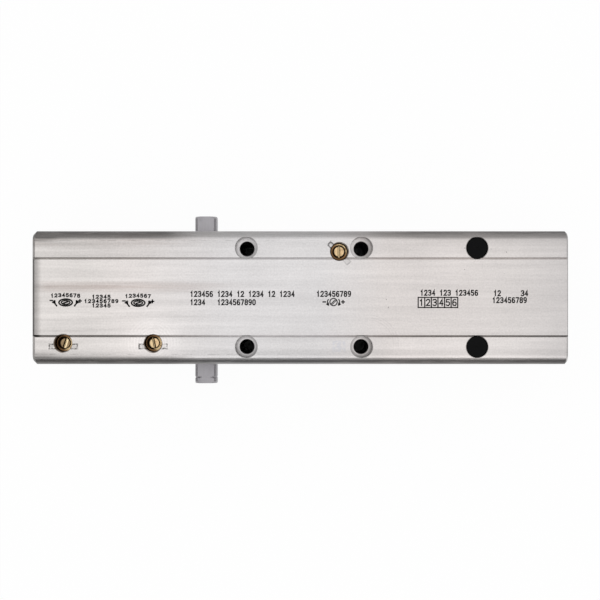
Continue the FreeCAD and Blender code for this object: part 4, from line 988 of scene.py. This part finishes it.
@dataclass(frozen=True)
class PressedCoils:
    """Coils of a CAD spring that shorten along x as a joint pushes one of their ends.

    A spring pushed at both ends is two of these, which meet where both are held.
    """

    piece: str
    node: str
    body: str
    joint: str
    held_x_mm: float
    pushed_x_mm: float
    travel_mm: float
    whole: bool = True
    smooth_below: float = 40.0
    merge_distance: float = 1e-7

    def build(self, nodes: Nodes, material: bpy.types.Material) -> None:
        """Copy the node's mesh as a piece that stands for it and shortens with the joint.

        Args:
            nodes: the CAD nodes by name.
            material: the finish of the wire.
        """
        mesh = nodes[self.node].data.copy()
        mesh.materials.clear()
        mesh.materials.append(material)
        if not self.whole:
            self.cut(mesh)
        stale = mesh.attributes.get("custom_normal")
        if stale is not None:
            mesh.attributes.remove(stale)
        mesh.shade_smooth()
        mesh.set_sharp_from_angle(angle=math.radians(self.smooth_below))
        piece = bpy.data.objects.new(self.piece, mesh)
        bpy.context.scene.collection.objects.link(piece)
        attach(piece, self.body)
        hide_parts(self.node)
        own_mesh(piece)

    def cut(self, mesh: bpy.types.Mesh) -> None:
        """Cut the coils off flat where they are held, and close the wire there.

        Args:
            mesh: the mesh of the whole spring.
        """
        wire = bmesh.new()
        wire.from_mesh(mesh)
        bmesh.ops.remove_doubles(wire, verts=wire.verts[:], dist=self.merge_distance)
        made = bmesh.ops.bisect_plane(
            wire,
            geom=[*wire.verts, *wire.edges, *wire.faces],
            dist=self.merge_distance,
            plane_co=(self.held_x_mm * MM, 0.0, 0.0),
            plane_no=(math.copysign(1.0, self.held_x_mm - self.pushed_x_mm), 0.0, 0.0),
            clear_outer=True,
        )
        rim = [item for item in made["geom_cut"] if isinstance(item, bmesh.types.BMEdge)]
        ends = bmesh.ops.edgeloop_fill(wire, edges=rim)["faces"]
        bmesh.ops.triangulate(wire, faces=ends)
        bmesh.ops.recalc_face_normals(wire, faces=wire.faces[:])
        wire.to_mesh(mesh)
        wire.free()


Dressing = list[tuple[str, Finish, list[str]]]


@dataclass
class Assembly:
    """A sub-assembly of CAD nodes, which lies round an axis at one height over the mounting face."""

    axis_height_mm: float = 22.0

    @property
    def centre(self) -> Place:
        """Give where the pinion's axis crosses the piston's."""
        return (0.0, 0.0, self.axis_height_mm * MM)

    def finishes(self) -> Dressing:
        """Give each material's name, its finish and the nodes that take it."""
        raise NotImplementedError

    def build(self, nodes: Nodes) -> None:
        """Give the nodes their materials through their slots, and log each one.

        Args:
            nodes: the CAD nodes by name.
        """
        for name, finish, dressed in self.finishes():
            material = new_material(name, finish.surface)
            for node in dressed:
                for slot in nodes[node].material_slots:
                    slot.material = material
                LOG.info("%s: %s", node, material.name)


@dataclass
class CloserBody(Assembly):
    """The extruded body and the ball that plugs its gallery."""

    def finishes(self) -> Dressing:
        """Give the finishes of the body and its ball plug.

        Returns:
            The materials' names, their finishes and their nodes.
        """
        return [
            ("satin_extrusion", SatinExtrusion(), ["closer_body"]),
            ("plug_ball", PolishedSteel(), ["gallery_ball_plug"]),
        ]


@dataclass
class PinionDrive(Assembly):
    """The pinion with its square ends, and the piston with its two ball valves."""

    check_coils_mm: Point = (-59.5, -46.709)
    relief_coils_mm: Point = (13.5, 22.091)
    ball_lift_mm: float = 1.0

    def finishes(self) -> Dressing:
        """Give the finishes of the moving pieces inside the body.

        Returns:
            The materials' names, their finishes and their nodes.
        """
        pinion = MachinedSteel(self.centre, colour=(0.370, 0.358, 0.376), stain=(0.25, 0.24, 0.255))
        brass = TurnedBrass(self.centre, Axis.X)
        return [
            ("milled_pinion_steel", pinion, ["pinion"]),
            ("ground_iron", GroundIron(), ["piston"]),
            ("valve_balls", PolishedSteel(roughness=0.08), ["check_ball", "relief_ball"]),
            ("valve_plug_brass", brass, ["check_valve_plug", "relief_valve_plug"]),
        ]

    def build(self, nodes: Nodes) -> None:
        """Dress the nodes, and make the coils of the two valves' springs.

        Args:
            nodes: the CAD nodes by name.
        """
        super().build(nodes)
        wire = new_material("valve_spring_wire", DrawnWire((0.4, 0.4, 0.42)).surface)
        for valve, ends in (("check", self.check_coils_mm), ("relief", self.relief_coils_mm)):
            names = (f"{valve}_spring_coils", f"{valve}_spring", "piston_unit", f"{valve}_ball_lift")
            PressedCoils(*names, *ends, self.ball_lift_mm).build(nodes, wire)


@dataclass
class Bearings(Assembly):
    """The two ball bearings with their caps, seals and rings."""

    def finishes(self) -> Dressing:
        """Give the finishes of both bearings, caps, seals and rings.

        Returns:
            The materials' names, their finishes and their nodes.
        """
        cage = TurnedBrass(self.centre, Axis.Y, roughness=0.34)
        cap = MachinedSteel(self.centre, colour=(0.46, 0.455, 0.45), pitch=0.0004)
        rows = [
            ("bearing_race_steel", PolishedSteel(), ("bearing_inner_race", "bearing_outer_race")),
            ("bearing_balls", PolishedSteel(roughness=0.06), ("bearing_balls",)),
            ("pressed_cage_brass", cage, ("bearing_cage",)),
            ("plated_cap_steel", cap, ("bearing_cap",)),
            ("seal_rubber", MouldedRubber(), ("shaft_seal", "cap_ring")),
        ]
        return [
            (name, finish, [f"{side.value}_{piece}" for side in Side for piece in pieces])
            for name, finish, pieces in rows
        ]


@dataclass
class EndPlugs(Assembly):
    """The two screwed end plugs and their rings."""

    def finishes(self) -> Dressing:
        """Give the finishes of the plugs and their rings.

        Returns:
            The materials' names, their finishes and their nodes.
        """
        steel = MachinedSteel(self.centre, colour=(0.47, 0.465, 0.455), axis=Axis.X, pitch=0.0005)
        return [
            ("plated_plug_steel", steel, ["left_end_plug", "right_end_plug"]),
            ("plug_ring_rubber", MouldedRubber(), ["left_plug_ring", "right_plug_ring"]),
        ]


@dataclass
class SpringPack(Assembly):
    """The closing spring, its follower and the screw that sets its load.

    The spring's two ends are pushed by the piston and by the follower. Its two sets of coils meet
    where both keep the same share of their length with both ends pushed in fully.
    """

    left_end_mm: float = 30.5
    right_end_mm: float = 132.0
    meeting_mm: float = 94.53
    piston_travel_mm: float = 25.63
    follower_travel_mm: float = 15.0

    def finishes(self) -> Dressing:
        """Give the finishes of the follower, its screw and its ring.

        Returns:
            The materials' names, their finishes and their nodes.
        """
        steel = MachinedSteel(self.centre, axis=Axis.X)
        return [
            ("turned_follower_steel", steel, ["spring_follower", "adjusting_screw"]),
            ("screw_ring_rubber", MouldedRubber(), ["adjusting_screw_ring"]),
        ]

    def build(self, nodes: Nodes) -> None:
        """Make the spring's two sets of coils, and dress the nodes.

        Args:
            nodes: the CAD nodes by name.
        """
        wire = new_material("closing_spring_wire", DrawnWire().surface)
        for side, joint, pushed, travel in (
            ("left", "piston_slide", self.left_end_mm, self.piston_travel_mm),
            ("right", "follower_slide", self.right_end_mm, self.follower_travel_mm),
        ):
            names = (f"main_spring_{side}_coils", "main_spring", "case", joint)
            PressedCoils(*names, self.meeting_mm, pushed, travel, whole=False).build(nodes, wire)
        super().build(nodes)


@dataclass
class RegulatingScrews(Assembly):
    """The three slotted brass screws that set latching, closing and backcheck."""

    latching: ScrewBrass = ScrewBrass(
        centre=(-0.0632, -0.0208, 0.0404),
        slot_turn=73.0,
        lit_side=-20.0,
        lit_slot=(-0.0005, 0.0002),
        half_shine=0.0,
        crescent=0.95,
        level=0.62,
        slot_highlight=(-0.0012, -0.00045),
    )
    closing: ScrewBrass = ScrewBrass(
        centre=(-0.0224, -0.0208, 0.0404),
        slot_turn=102.0,
        lit_side=-15.0,
        lit_slot=(0.0001, 0.0005),
        half_shine=0.6,
        crescent=0.90,
    )
    backcheck: ScrewBrass = ScrewBrass(
        centre=(0.0621, 0.0207, 0.0436),
        slot_turn=90.0,
        lit_side=50.0,
        lit_slot=(-0.0004, 0.0003),
        half_shine=0.3,
        crescent=0.50,
        moat_glint=0.05,
        outer_shade=0.90,
    )

    def finishes(self) -> Dressing:
        """Give each screw brass that is turned about its own axis, and its ring rubber.

        Returns:
            The materials' names, their finishes and their nodes.
        """
        screws = {"latching": self.latching, "closing": self.closing, "backcheck": self.backcheck}
        rings = [f"{name}_valve_ring" for name in screws]
        brass = [(f"{name}_screw_brass", finish, [f"{name}_valve"]) for name, finish in screws.items()]
        return [("valve_ring_rubber", MouldedRubber(), rings), *brass]


@dataclass
class HoleCaps(Assembly):
    """The two plastic caps over the unused screw holes."""

    def finishes(self) -> Dressing:
        """Give the caps' plastic."""
        return [("cap_plastic", MouldedPlastic(), ["upper_hole_cap", "lower_hole_cap"])]


# Each numeral as strokes in hundredths, in a box 60 wide and 100 high
NUMERALS: dict[str, list[list[tuple[int, int]]]] = {
    "0": [[(14, 0), (0, 20), (0, 80), (14, 100), (46, 100), (60, 80), (60, 20), (46, 0), (14, 0)]],
    "1": [[(12, 78), (32, 100), (32, 0)]],
    "2": [[(0, 80), (12, 100), (48, 100), (60, 82), (60, 62), (0, 0), (60, 0)]],
    "3": [
        [(0, 90), (14, 100), (46, 100), (60, 86), (60, 64), (44, 52), (24, 52)],
        [(44, 52), (60, 40), (60, 14), (46, 0), (14, 0), (0, 10)],
    ],
    "4": [[(46, 0), (46, 100), (0, 30), (60, 30)]],
    "5": [
        [(56, 100), (6, 100), (2, 56), (44, 60), (60, 44), (60, 16), (44, 0)],
        [(44, 0), (14, 0), (0, 10)],
    ],
    "6": [
        [(54, 94), (40, 100), (16, 96), (0, 70), (0, 18), (14, 0), (46, 0)],
        [(46, 0), (60, 16), (60, 42), (46, 56), (14, 56), (0, 42)],
    ],
    "7": [[(0, 100), (60, 100), (22, 0)]],
    "8": [
        [(14, 54), (2, 68), (2, 88), (14, 100), (46, 100), (58, 88), (58, 68), (46, 54), (14, 54),
         (0, 38), (0, 14), (14, 0), (46, 0), (60, 14), (60, 38), (46, 54)],
    ],
    "9": [
        [(60, 58), (46, 44), (14, 44), (0, 58), (0, 86), (14, 100), (46, 100), (60, 86), (60, 36),
         (44, 4), (16, 0)],
    ],
}
NUMERAL_WIDTH = 0.6


@dataclass
class PrintedMarks:
    """The generic marks printed on the middle band: adjusting signs, plain numerals and a size row.

    Each sign is a slotted screw head between turning arrows, with a minus and a plus.
    """

    face_mm: float = 43.7
    ink_mm: float = 0.03
    line_mm: float = 0.60
    thin_mm: float = 0.54
    thinnest_mm: float = 0.48
    row_size_mm: Point = (1.02, 2.2)
    row_step_mm: float = 1.77
    row_start_mm: float = 0.5
    small_size_mm: Point = (0.94, 1.38)
    boxed_size_mm: Point = (1.45, 2.7)
    block_step_mm: float = 2.0
    arch_drop_mm: float = 0.30
    arch_step_mm: float = 1.72
    arrow_half: float = 0.42
    arrow_line: float = 0.27
    mitre_limit: float = 0.35
    strokes: list[tuple[list[Point], float]] = field(default_factory=list)

    def line(self, points: Sequence[Point], width: float = 0.0) -> None:
        """Note one stroke, as points in millimetres on the face."""
        self.strokes.append((list(points), width or self.line_mm))

    def arc(
        self, centre: Point, radii: Point, start: float = 0.0, end: float = 360.0, steps: int = 24
    ) -> list[Point]:
        """Give the points of an ellipse, or of an arc of it.

        Args:
            centre: its centre.
            radii: its two radii.
            start: where it starts, in degrees.
            end: where it ends, in degrees.
            steps: how many runs it has.

        Returns:
            The points, in order.
        """
        angles = [math.radians(start + (end - start) * step / steps) for step in range(steps + 1)]
        (x, y), (wide, high) = centre, radii
        return [(x + wide * math.cos(angle), y + high * math.sin(angle)) for angle in angles]

    def arrow(self, tip: Point, direction: float, size: float) -> None:
        """Note a filled arrow head at a tip, pointing in a direction in degrees.

        Args:
            tip: where it points to.
            direction: which way it points, in degrees.
            size: how long it is.
        """
        angle = math.radians(direction)
        back = (tip[0] - size * math.cos(angle), tip[1] - size * math.sin(angle))
        for share in (0.25, 0.5, 0.75, 1.0):
            x, y = (tip[0] + (back[0] - tip[0]) * share, tip[1] + (back[1] - tip[1]) * share)
            half = size * self.arrow_half * share
            side = (-math.sin(angle) * half, math.cos(angle) * half)
            self.line([(x - side[0], y - side[1]), (x + side[0], y + side[1])], size * self.arrow_line)

    def minus(self, middle: Point, size: float) -> None:
        """Note a minus sign."""
        self.line([(middle[0] - size, middle[1]), (middle[0] + size, middle[1])])

    def plus(self, middle: Point, size: float) -> None:
        """Note a plus sign."""
        self.minus(middle, size)
        self.line([(middle[0], middle[1] - size), (middle[0], middle[1] + size)])

    def numerals(self, digits: str, middle: Point, size: Point, step: float, width: float) -> None:
        """Note plain numerals round a middle point.

        Args:
            digits: the numerals, where a space leaves a gap.
            middle: the middle of the row.
            size: how wide and how high each numeral is.
            step: how far apart they are.
            width: how wide their strokes are.
        """
        left = middle[0] - (len(digits) - 1) * step / 2.0 - size[0] / 2.0
        for index, digit in enumerate(digits):
            start = left + index * step
            for stroke in NUMERALS.get(digit, []):
                points = [
                    (start + x / 100 / NUMERAL_WIDTH * size[0], middle[1] + (y / 100 - 0.5) * size[1])
                    for x, y in stroke
                ]
                self.line(points, width)

    def row(self, digits: str, left: float, middle: float) -> None:
        """Note a long row of narrow numerals from a left end.

        Args:
            digits: the numerals, where a space leaves a gap.
            left: where it starts.
            middle: the height of its middle.
        """
        half = (len(digits) - 1) * self.row_step_mm / 2.0
        place = (left + half + self.row_start_mm, middle)
        self.numerals(digits, place, self.row_size_mm, self.row_step_mm, self.thin_mm)

    def arched_numerals(self, digits: str, centre: Point) -> None:
        """Note small numerals in a row whose ends drop a little, as round a dial.

        Args:
            digits: the numerals, where a space leaves a gap.
            centre: the middle of the row.
        """
        middle = (len(digits) - 1) / 2.0
        step = self.arch_step_mm
        for index, digit in enumerate(digits):
            away = (index - middle) / middle
            place = (centre[0] + away * middle * step, centre[1] - self.arch_drop_mm * away**2)
            self.numerals(digit, place, self.small_size_mm, step, self.thinnest_mm)

    def oval_sign(self, centre: Point, numerals: str) -> None:
        """Note an adjusting sign with two oval rings and arched numerals.

        Args:
            centre: the middle of its screw head.
            numerals: the numerals over it.
        """
        x, y = centre
        self.line(self.arc(centre, (3.05, 1.55)), 0.72)
        self.line(self.arc(centre, (1.95, 0.85), steps=18), 0.64)
        self.line([(x - 0.85, y - 0.26), (x + 0.85, y + 0.26)], 0.66)
        for side in (-1.0, 1.0):
            tail = [(x + side * 4.1, y - 1.5), (x + side * 4.8, y - 0.6), (x + side * 4.95, y + 0.2)]
            self.line(tail, 0.70)
            self.arrow((x + side * 4.75, y + 1.2), 90.0 + side * 25.0, 1.6)
        self.minus((x - 6.5, y + 0.9), 0.55)
        self.plus((x + 6.5, y + 0.7), 0.60)
        self.arched_numerals(numerals, (x - 0.1, y + 3.35))

    def round_sign(self, centre: Point, numerals: str) -> None:
        """Note an adjusting sign with one round ring and a row of numerals.

        Args:
            centre: the middle of its screw head.
            numerals: the numerals over it.
        """
        x, y = centre
        self.line(self.arc(centre, (1.66, 1.66)), 0.48)
        self.line([(x - 1.0, y - 0.75), (x + 0.65, y + 0.95)], 0.38)
        self.line([(x - 0.55, y - 1.05), (x + 1.05, y + 0.6)], 0.38)
        for side, start, end in ((-1.0, 150.0, 205.0), (1.0, 30.0, -25.0)):
            self.line(self.arc(centre, (2.75, 2.2), start, end, 8), 0.50)
            self.arrow((x + side * 2.05, y - 1.75), 270.0 - side * 35.0, 1.3)
        self.minus((x - 4.2, y + 0.05), 0.55)
        self.plus((x + 4.3, y + 0.05), 0.58)
        self.numerals(numerals, (x + 0.1, y + 3.7), self.row_size_mm, self.row_step_mm, self.thin_mm)

    def number_block(self, centre: Point) -> None:
        """Note three short rows of plain numerals between the two oval signs.

        Args:
            centre: the middle of the block.
        """
        step = self.block_step_mm
        for digits, up in (("12345", step), ("123456789", 0.0), ("12345", -step)):
            place = (centre[0], centre[1] + up)
            self.numerals(digits, place, self.small_size_mm, self.row_step_mm, self.thinnest_mm)

    def size_row(self, left: float, right: float, low: float, high: float, count: int) -> None:
        """Note a row of heavy boxes, each with a plain numeral.

        Args:
            left: its left end.
            right: its right end.
            low: its lower edge.
            high: its upper edge.
            count: how many boxes it has.
        """
        pitch = (right - left) / count
        self.line([(left, low), (right, low)], 0.50)
        self.line([(left, high), (right, high)], 0.50)
        for index in range(count + 1):
            self.line([(left + index * pitch, low), (left + index * pitch, high)], 0.55)
        for index in range(count):
            middle = (left + (index + 0.5) * pitch, (low + high) / 2.0)
            self.numerals(str(index + 1), middle, self.boxed_size_mm, 0.0, self.thin_mm)

    def lay_out(self) -> None:
        """Note every mark where the face carries one."""
        self.oval_sign((-62.2, -2.3), "12345678")
        self.number_block((-46.0, -1.7))
        self.oval_sign((-29.2, -2.5), "1234567")
        self.row("123456 1234 12 1234 12 1234", -5.3, 1.55)
        self.row("1234   1234567890", -5.3, -2.2)
        self.round_sign((59.7, -2.1), "123456789")
        self.row("1234 123 123456", 99.4, 2.1)
        self.size_row(98.2, 116.2, -4.6, 0.0, 6)
        self.row("12     34", 132.8, 1.9)
        self.row("123456789", 132.2, -1.25)

    def rails(self, spine: list[Vector], closed: bool, half: float) -> list[tuple[Vector, Vector]]:
        """Give the two mitred edges of a stroke, point by point.

        Args:
            spine: the stroke's points.
            closed: whether it ends where it starts.
            half: half of its width.

        Returns:
            Two points beside each of its points.
        """
        count = len(spine)
        runs = [(spine[(index + 1) % count] - spine[index]).normalized() for index in range(count)]
        pairs: list[tuple[Vector, Vector]] = []
        for index, point in enumerate(spine):
            starts = not closed and index == 0
            ends = not closed and index == count - 1
            before = runs[index] if starts else runs[index - 1]
            after = runs[index - 1] if ends else runs[index]
            run = (before + after).normalized()
            side = Vector((-run.y, run.x))
            reach = half / max(self.mitre_limit, side.dot(Vector((-before.y, before.x))))
            cap = run * half * (float(ends) - float(starts))
            pairs.append((point + cap + side * reach, point + cap - side * reach))
        return pairs

    def ribbon(self, mesh: bmesh.types.BMesh, points: list[Point], width: float) -> None:
        """Add one stroke to a mesh as a thin ribbon.

        Args:
            mesh: the mesh that it goes into.
            points: its points in millimetres.
            width: its width in millimetres.
        """
        closed = math.dist(points[0], points[-1]) < 1e-6
        spine = [Vector(point) for point in (points[:-1] if closed else points)]
        levels = (self.face_mm, self.face_mm + self.ink_mm)
        corners = [
            [mesh.verts.new((rail.x * MM, rail.y * MM, level * MM)) for level in levels for rail in pair]
            for pair in self.rails(spine, closed, width / 2.0)
        ]
        following = corners[1:] + corners[:1] if closed else corners[1:]
        for here, there in zip(corners, following):
            for a, b in ((0, 1), (1, 3), (3, 2), (2, 0)):
                mesh.faces.new((here[a], here[b], there[b], there[a]))
        if not closed:
            for end, order in ((corners[0], (0, 2, 3, 1)), (corners[-1], (0, 1, 3, 2))):
                mesh.faces.new([end[corner] for corner in order])

    def build(self) -> None:
        """Build all the marks as one piece on the body."""
        self.lay_out()
        mesh = bmesh.new()
        for points, width in self.strokes:
            self.ribbon(mesh, points, width)
        bmesh.ops.recalc_face_normals(mesh, faces=mesh.faces)
        data = bpy.data.meshes.new("printed_marks")
        mesh.to_mesh(data)
        mesh.free()
        piece = bpy.data.objects.new("printed_marks", data)
        bpy.context.scene.collection.objects.link(piece)
        data.materials.append(new_material("printing_ink", PrintingInk().surface))
        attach(piece, "case")
        LOG.info("printed_marks: %d strokes", len(self.strokes))


# Studio


@dataclass(frozen=True)
class Card:
    """A grey card that stands beside the part, and that only its metal reflects."""

    name: str
    ends: tuple[Point, Point]
    low: float
    high: float
    low_tone: float
    high_tone: float

    def corners(self) -> list[Place]:
        """Give the card's corners."""
        first, last = self.ends
        return [(*first, self.low), (*last, self.low), (*last, self.high), (*first, self.high)]

    def glow(self, shader: Shader) -> Wire:
        """Give the card's brightness, from its foot to its top."""
        strength = shader.where()[2].span(self.low, self.high, self.low_tone, self.high_tone)
        return shader.node("ShaderNodeEmission", None, WHITE, strength)


@dataclass(frozen=True)
class Lamp:
    """A soft square lamp."""

    name: str
    place: Place
    watts: float
    size: float = 1.2


@dataclass
class Studio:
    """The pale floor, the soft light, the grey cards beside the part and the camera."""

    camera_place: Place = (0.0467, -0.0112, 0.529)
    lens_mm: float = 64.0
    sensor_mm: float = 36.0
    shift: Point = (-0.0083, 0.0367)
    clip: Point = (0.01, 50.0)
    floor_drop: float = 0.0002
    floor_reach: float = 6.0
    footprint: tuple[float, float, float, float] = (-0.0765, 0.1655, -0.0295, 0.0295)
    papers: tuple[Colour, Colour] = ((0.95, 0.95, 0.95), (0.97, 0.97, 0.97))
    # The colour of the painted shade on the floor under the part.
    painted_shade_under_part: Colour = (0.45, 0.45, 0.45)
    world_light: float = 0.85
    cards: tuple[Card, ...] = (
        Card("upper_card", ((-0.7, 0.36), (0.8, 0.36)), 0.02, 0.60, 0.42, 1.0),
        Card("lower_card", ((0.8, -0.36), (-0.7, -0.36)), 0.02, 0.26, 0.05, 0.12),
        Card("left_card", ((-0.40, -0.36), (-0.40, 0.36)), 0.0, 0.26, 0.12, 0.45),
        Card("right_card", ((0.50, 0.36), (0.50, -0.36)), 0.03, 0.26, 0.25, 0.50),
    )
    lamps: tuple[Lamp, ...] = (
        Lamp("key", (-0.55, 0.60, 1.1), 1.5),
        Lamp("fill", (0.75, -0.60, 1.0), 0.8),
    )
    lamp_aim: Place = (0.045, 0.0, 0.0)

    @staticmethod
    def add(name: str, data: bpy.types.ID, place: Place = (0.0, 0.0, 0.0)) -> bpy.types.Object:
        """Put a mesh, lamp or camera into the scene at a place.

        Args:
            name: its name.
            data: the mesh, lamp or camera.
            place: where it goes, in metres.

        Returns:
            The new object.
        """
        item = bpy.data.objects.new(name, data)
        item.location = place
        bpy.context.scene.collection.objects.link(item)
        return item

    def camera(self) -> None:
        """Set the camera above the part, as the photograph was taken."""
        data = bpy.data.cameras.new("camera")
        data.lens = self.lens_mm
        data.sensor_width = self.sensor_mm
        data.shift_x, data.shift_y = self.shift
        data.clip_start, data.clip_end = self.clip
        bpy.context.scene.camera = self.add("camera", data, self.camera_place)

    def background_rays(self, shader: Shader) -> Wire:
        """Give 1 for the rays that see the background, and 0 for those that light the part.

        Args:
            shader: the node tree that it is built in.

        Returns:
            The mask.
        """
        kinds = ("Camera", "Glossy", "Transmission")
        seen = [shader.node("ShaderNodeLightPath", None, out=f"Is {kind} Ray") for kind in kinds]
        return seen[0].most(seen[1]).most(seen[2])

    def world(self) -> None:
        """Light the part evenly from all round, with a white background."""
        world = bpy.data.worlds.new("studio")
        world.use_nodes = True
        bpy.context.scene.world = world
        shader = Shader(world.node_tree)
        strength = self.background_rays(shader).span(0.0, 1.0, self.world_light, 1.0)
        sky = shader.node("ShaderNodeBackground", None, WHITE, strength)
        shader.end(sky, "ShaderNodeOutputWorld")

    def sheet(self, name: str, corners: list[Place], glow: Callable[[Shader], Wire]) -> bpy.types.Object:
        """Make a flat sheet of the stage.

        Args:
            name: its name.
            corners: its corners, in metres.
            glow: gives its shader.

        Returns:
            The sheet.
        """
        data = bpy.data.meshes.new(name)
        data.from_pydata(corners, [], [tuple(range(len(corners)))])
        piece = self.add(name, data)
        data.materials.append(new_material(f"{name}_paper", glow))
        return piece

    def floor_glow(self, shader: Shader) -> Wire:
        """Give white paper that keeps a soft shadow, and that is dark under the part.

        Args:
            shader: the node tree that it is built in.

        Returns:
            The shader of the floor.
        """
        along, across, _ = shader.where()
        left, right, low, high = self.footprint
        # Painted shade under the part: darker paper without the white glow, which the holes show.
        under = along.over(left) * along.under(right) * across.over(low) * across.under(high)
        paper = shader.mix(shader.noise(900.0, 2.0), *self.papers)
        paper = shader.node("ShaderNodeBsdfDiffuse", None, shader.mix(under, paper, self.painted_shade_under_part))
        glow = shader.node("ShaderNodeEmission", None, WHITE, 1.0)
        share = self.background_rays(shader) * (1.0 - under) * 0.95
        return shader.node("ShaderNodeMixShader", None, share, paper, glow)

    def floor(self) -> None:
        """Lay the floor under the part."""
        far, drop = self.floor_reach, -self.floor_drop
        corners = [(-far, -far, drop), (far, -far, drop), (far, far, drop), (-far, far, drop)]
        self.sheet("floor", corners, self.floor_glow)

    def stand_cards(self) -> None:
        """Stand the grey cards beside the part."""
        for card in self.cards:
            piece = self.sheet(card.name, card.corners(), card.glow)
            piece.visible_camera = False
            piece.visible_diffuse = False
            piece.visible_shadow = False

    def hang_lamps(self) -> None:
        """Hang the soft lamps, each of which points at the part."""
        for lamp in self.lamps:
            data = bpy.data.lights.new(lamp.name, "AREA")
            data.shape = "RECTANGLE"
            data.size = data.size_y = lamp.size
            data.energy = lamp.watts
            piece = self.add(lamp.name, data, lamp.place)
            piece.rotation_mode = "QUATERNION"
            aim = Vector(self.lamp_aim) - Vector(lamp.place)
            piece.rotation_quaternion = aim.to_track_quat("-Z", "Y")

    def build(self) -> None:
        """Set up the whole studio."""
        bpy.context.scene.view_settings.view_transform = "Standard"
        self.world()
        self.floor()
        self.stand_cards()
        self.hang_lamps()
        self.camera()
        LOG.info("studio: floor, cards, lamps and camera")


def main() -> None:
    """Build the door closer's looks and its studio, in order."""
    logging.basicConfig(level=logging.INFO, format="%(name)s %(message)s")
    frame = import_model()
    nodes = frame["nodes"]
    assemblies = (CloserBody, PinionDrive, Bearings, EndPlugs, SpringPack, RegulatingScrews, HoleCaps)
    for assembly in assemblies:
        assembly().build(nodes)
    PrintedMarks().build()
    Studio().build()
    bpy.context.view_layer.update()


if __name__ == "__main__":
    main()
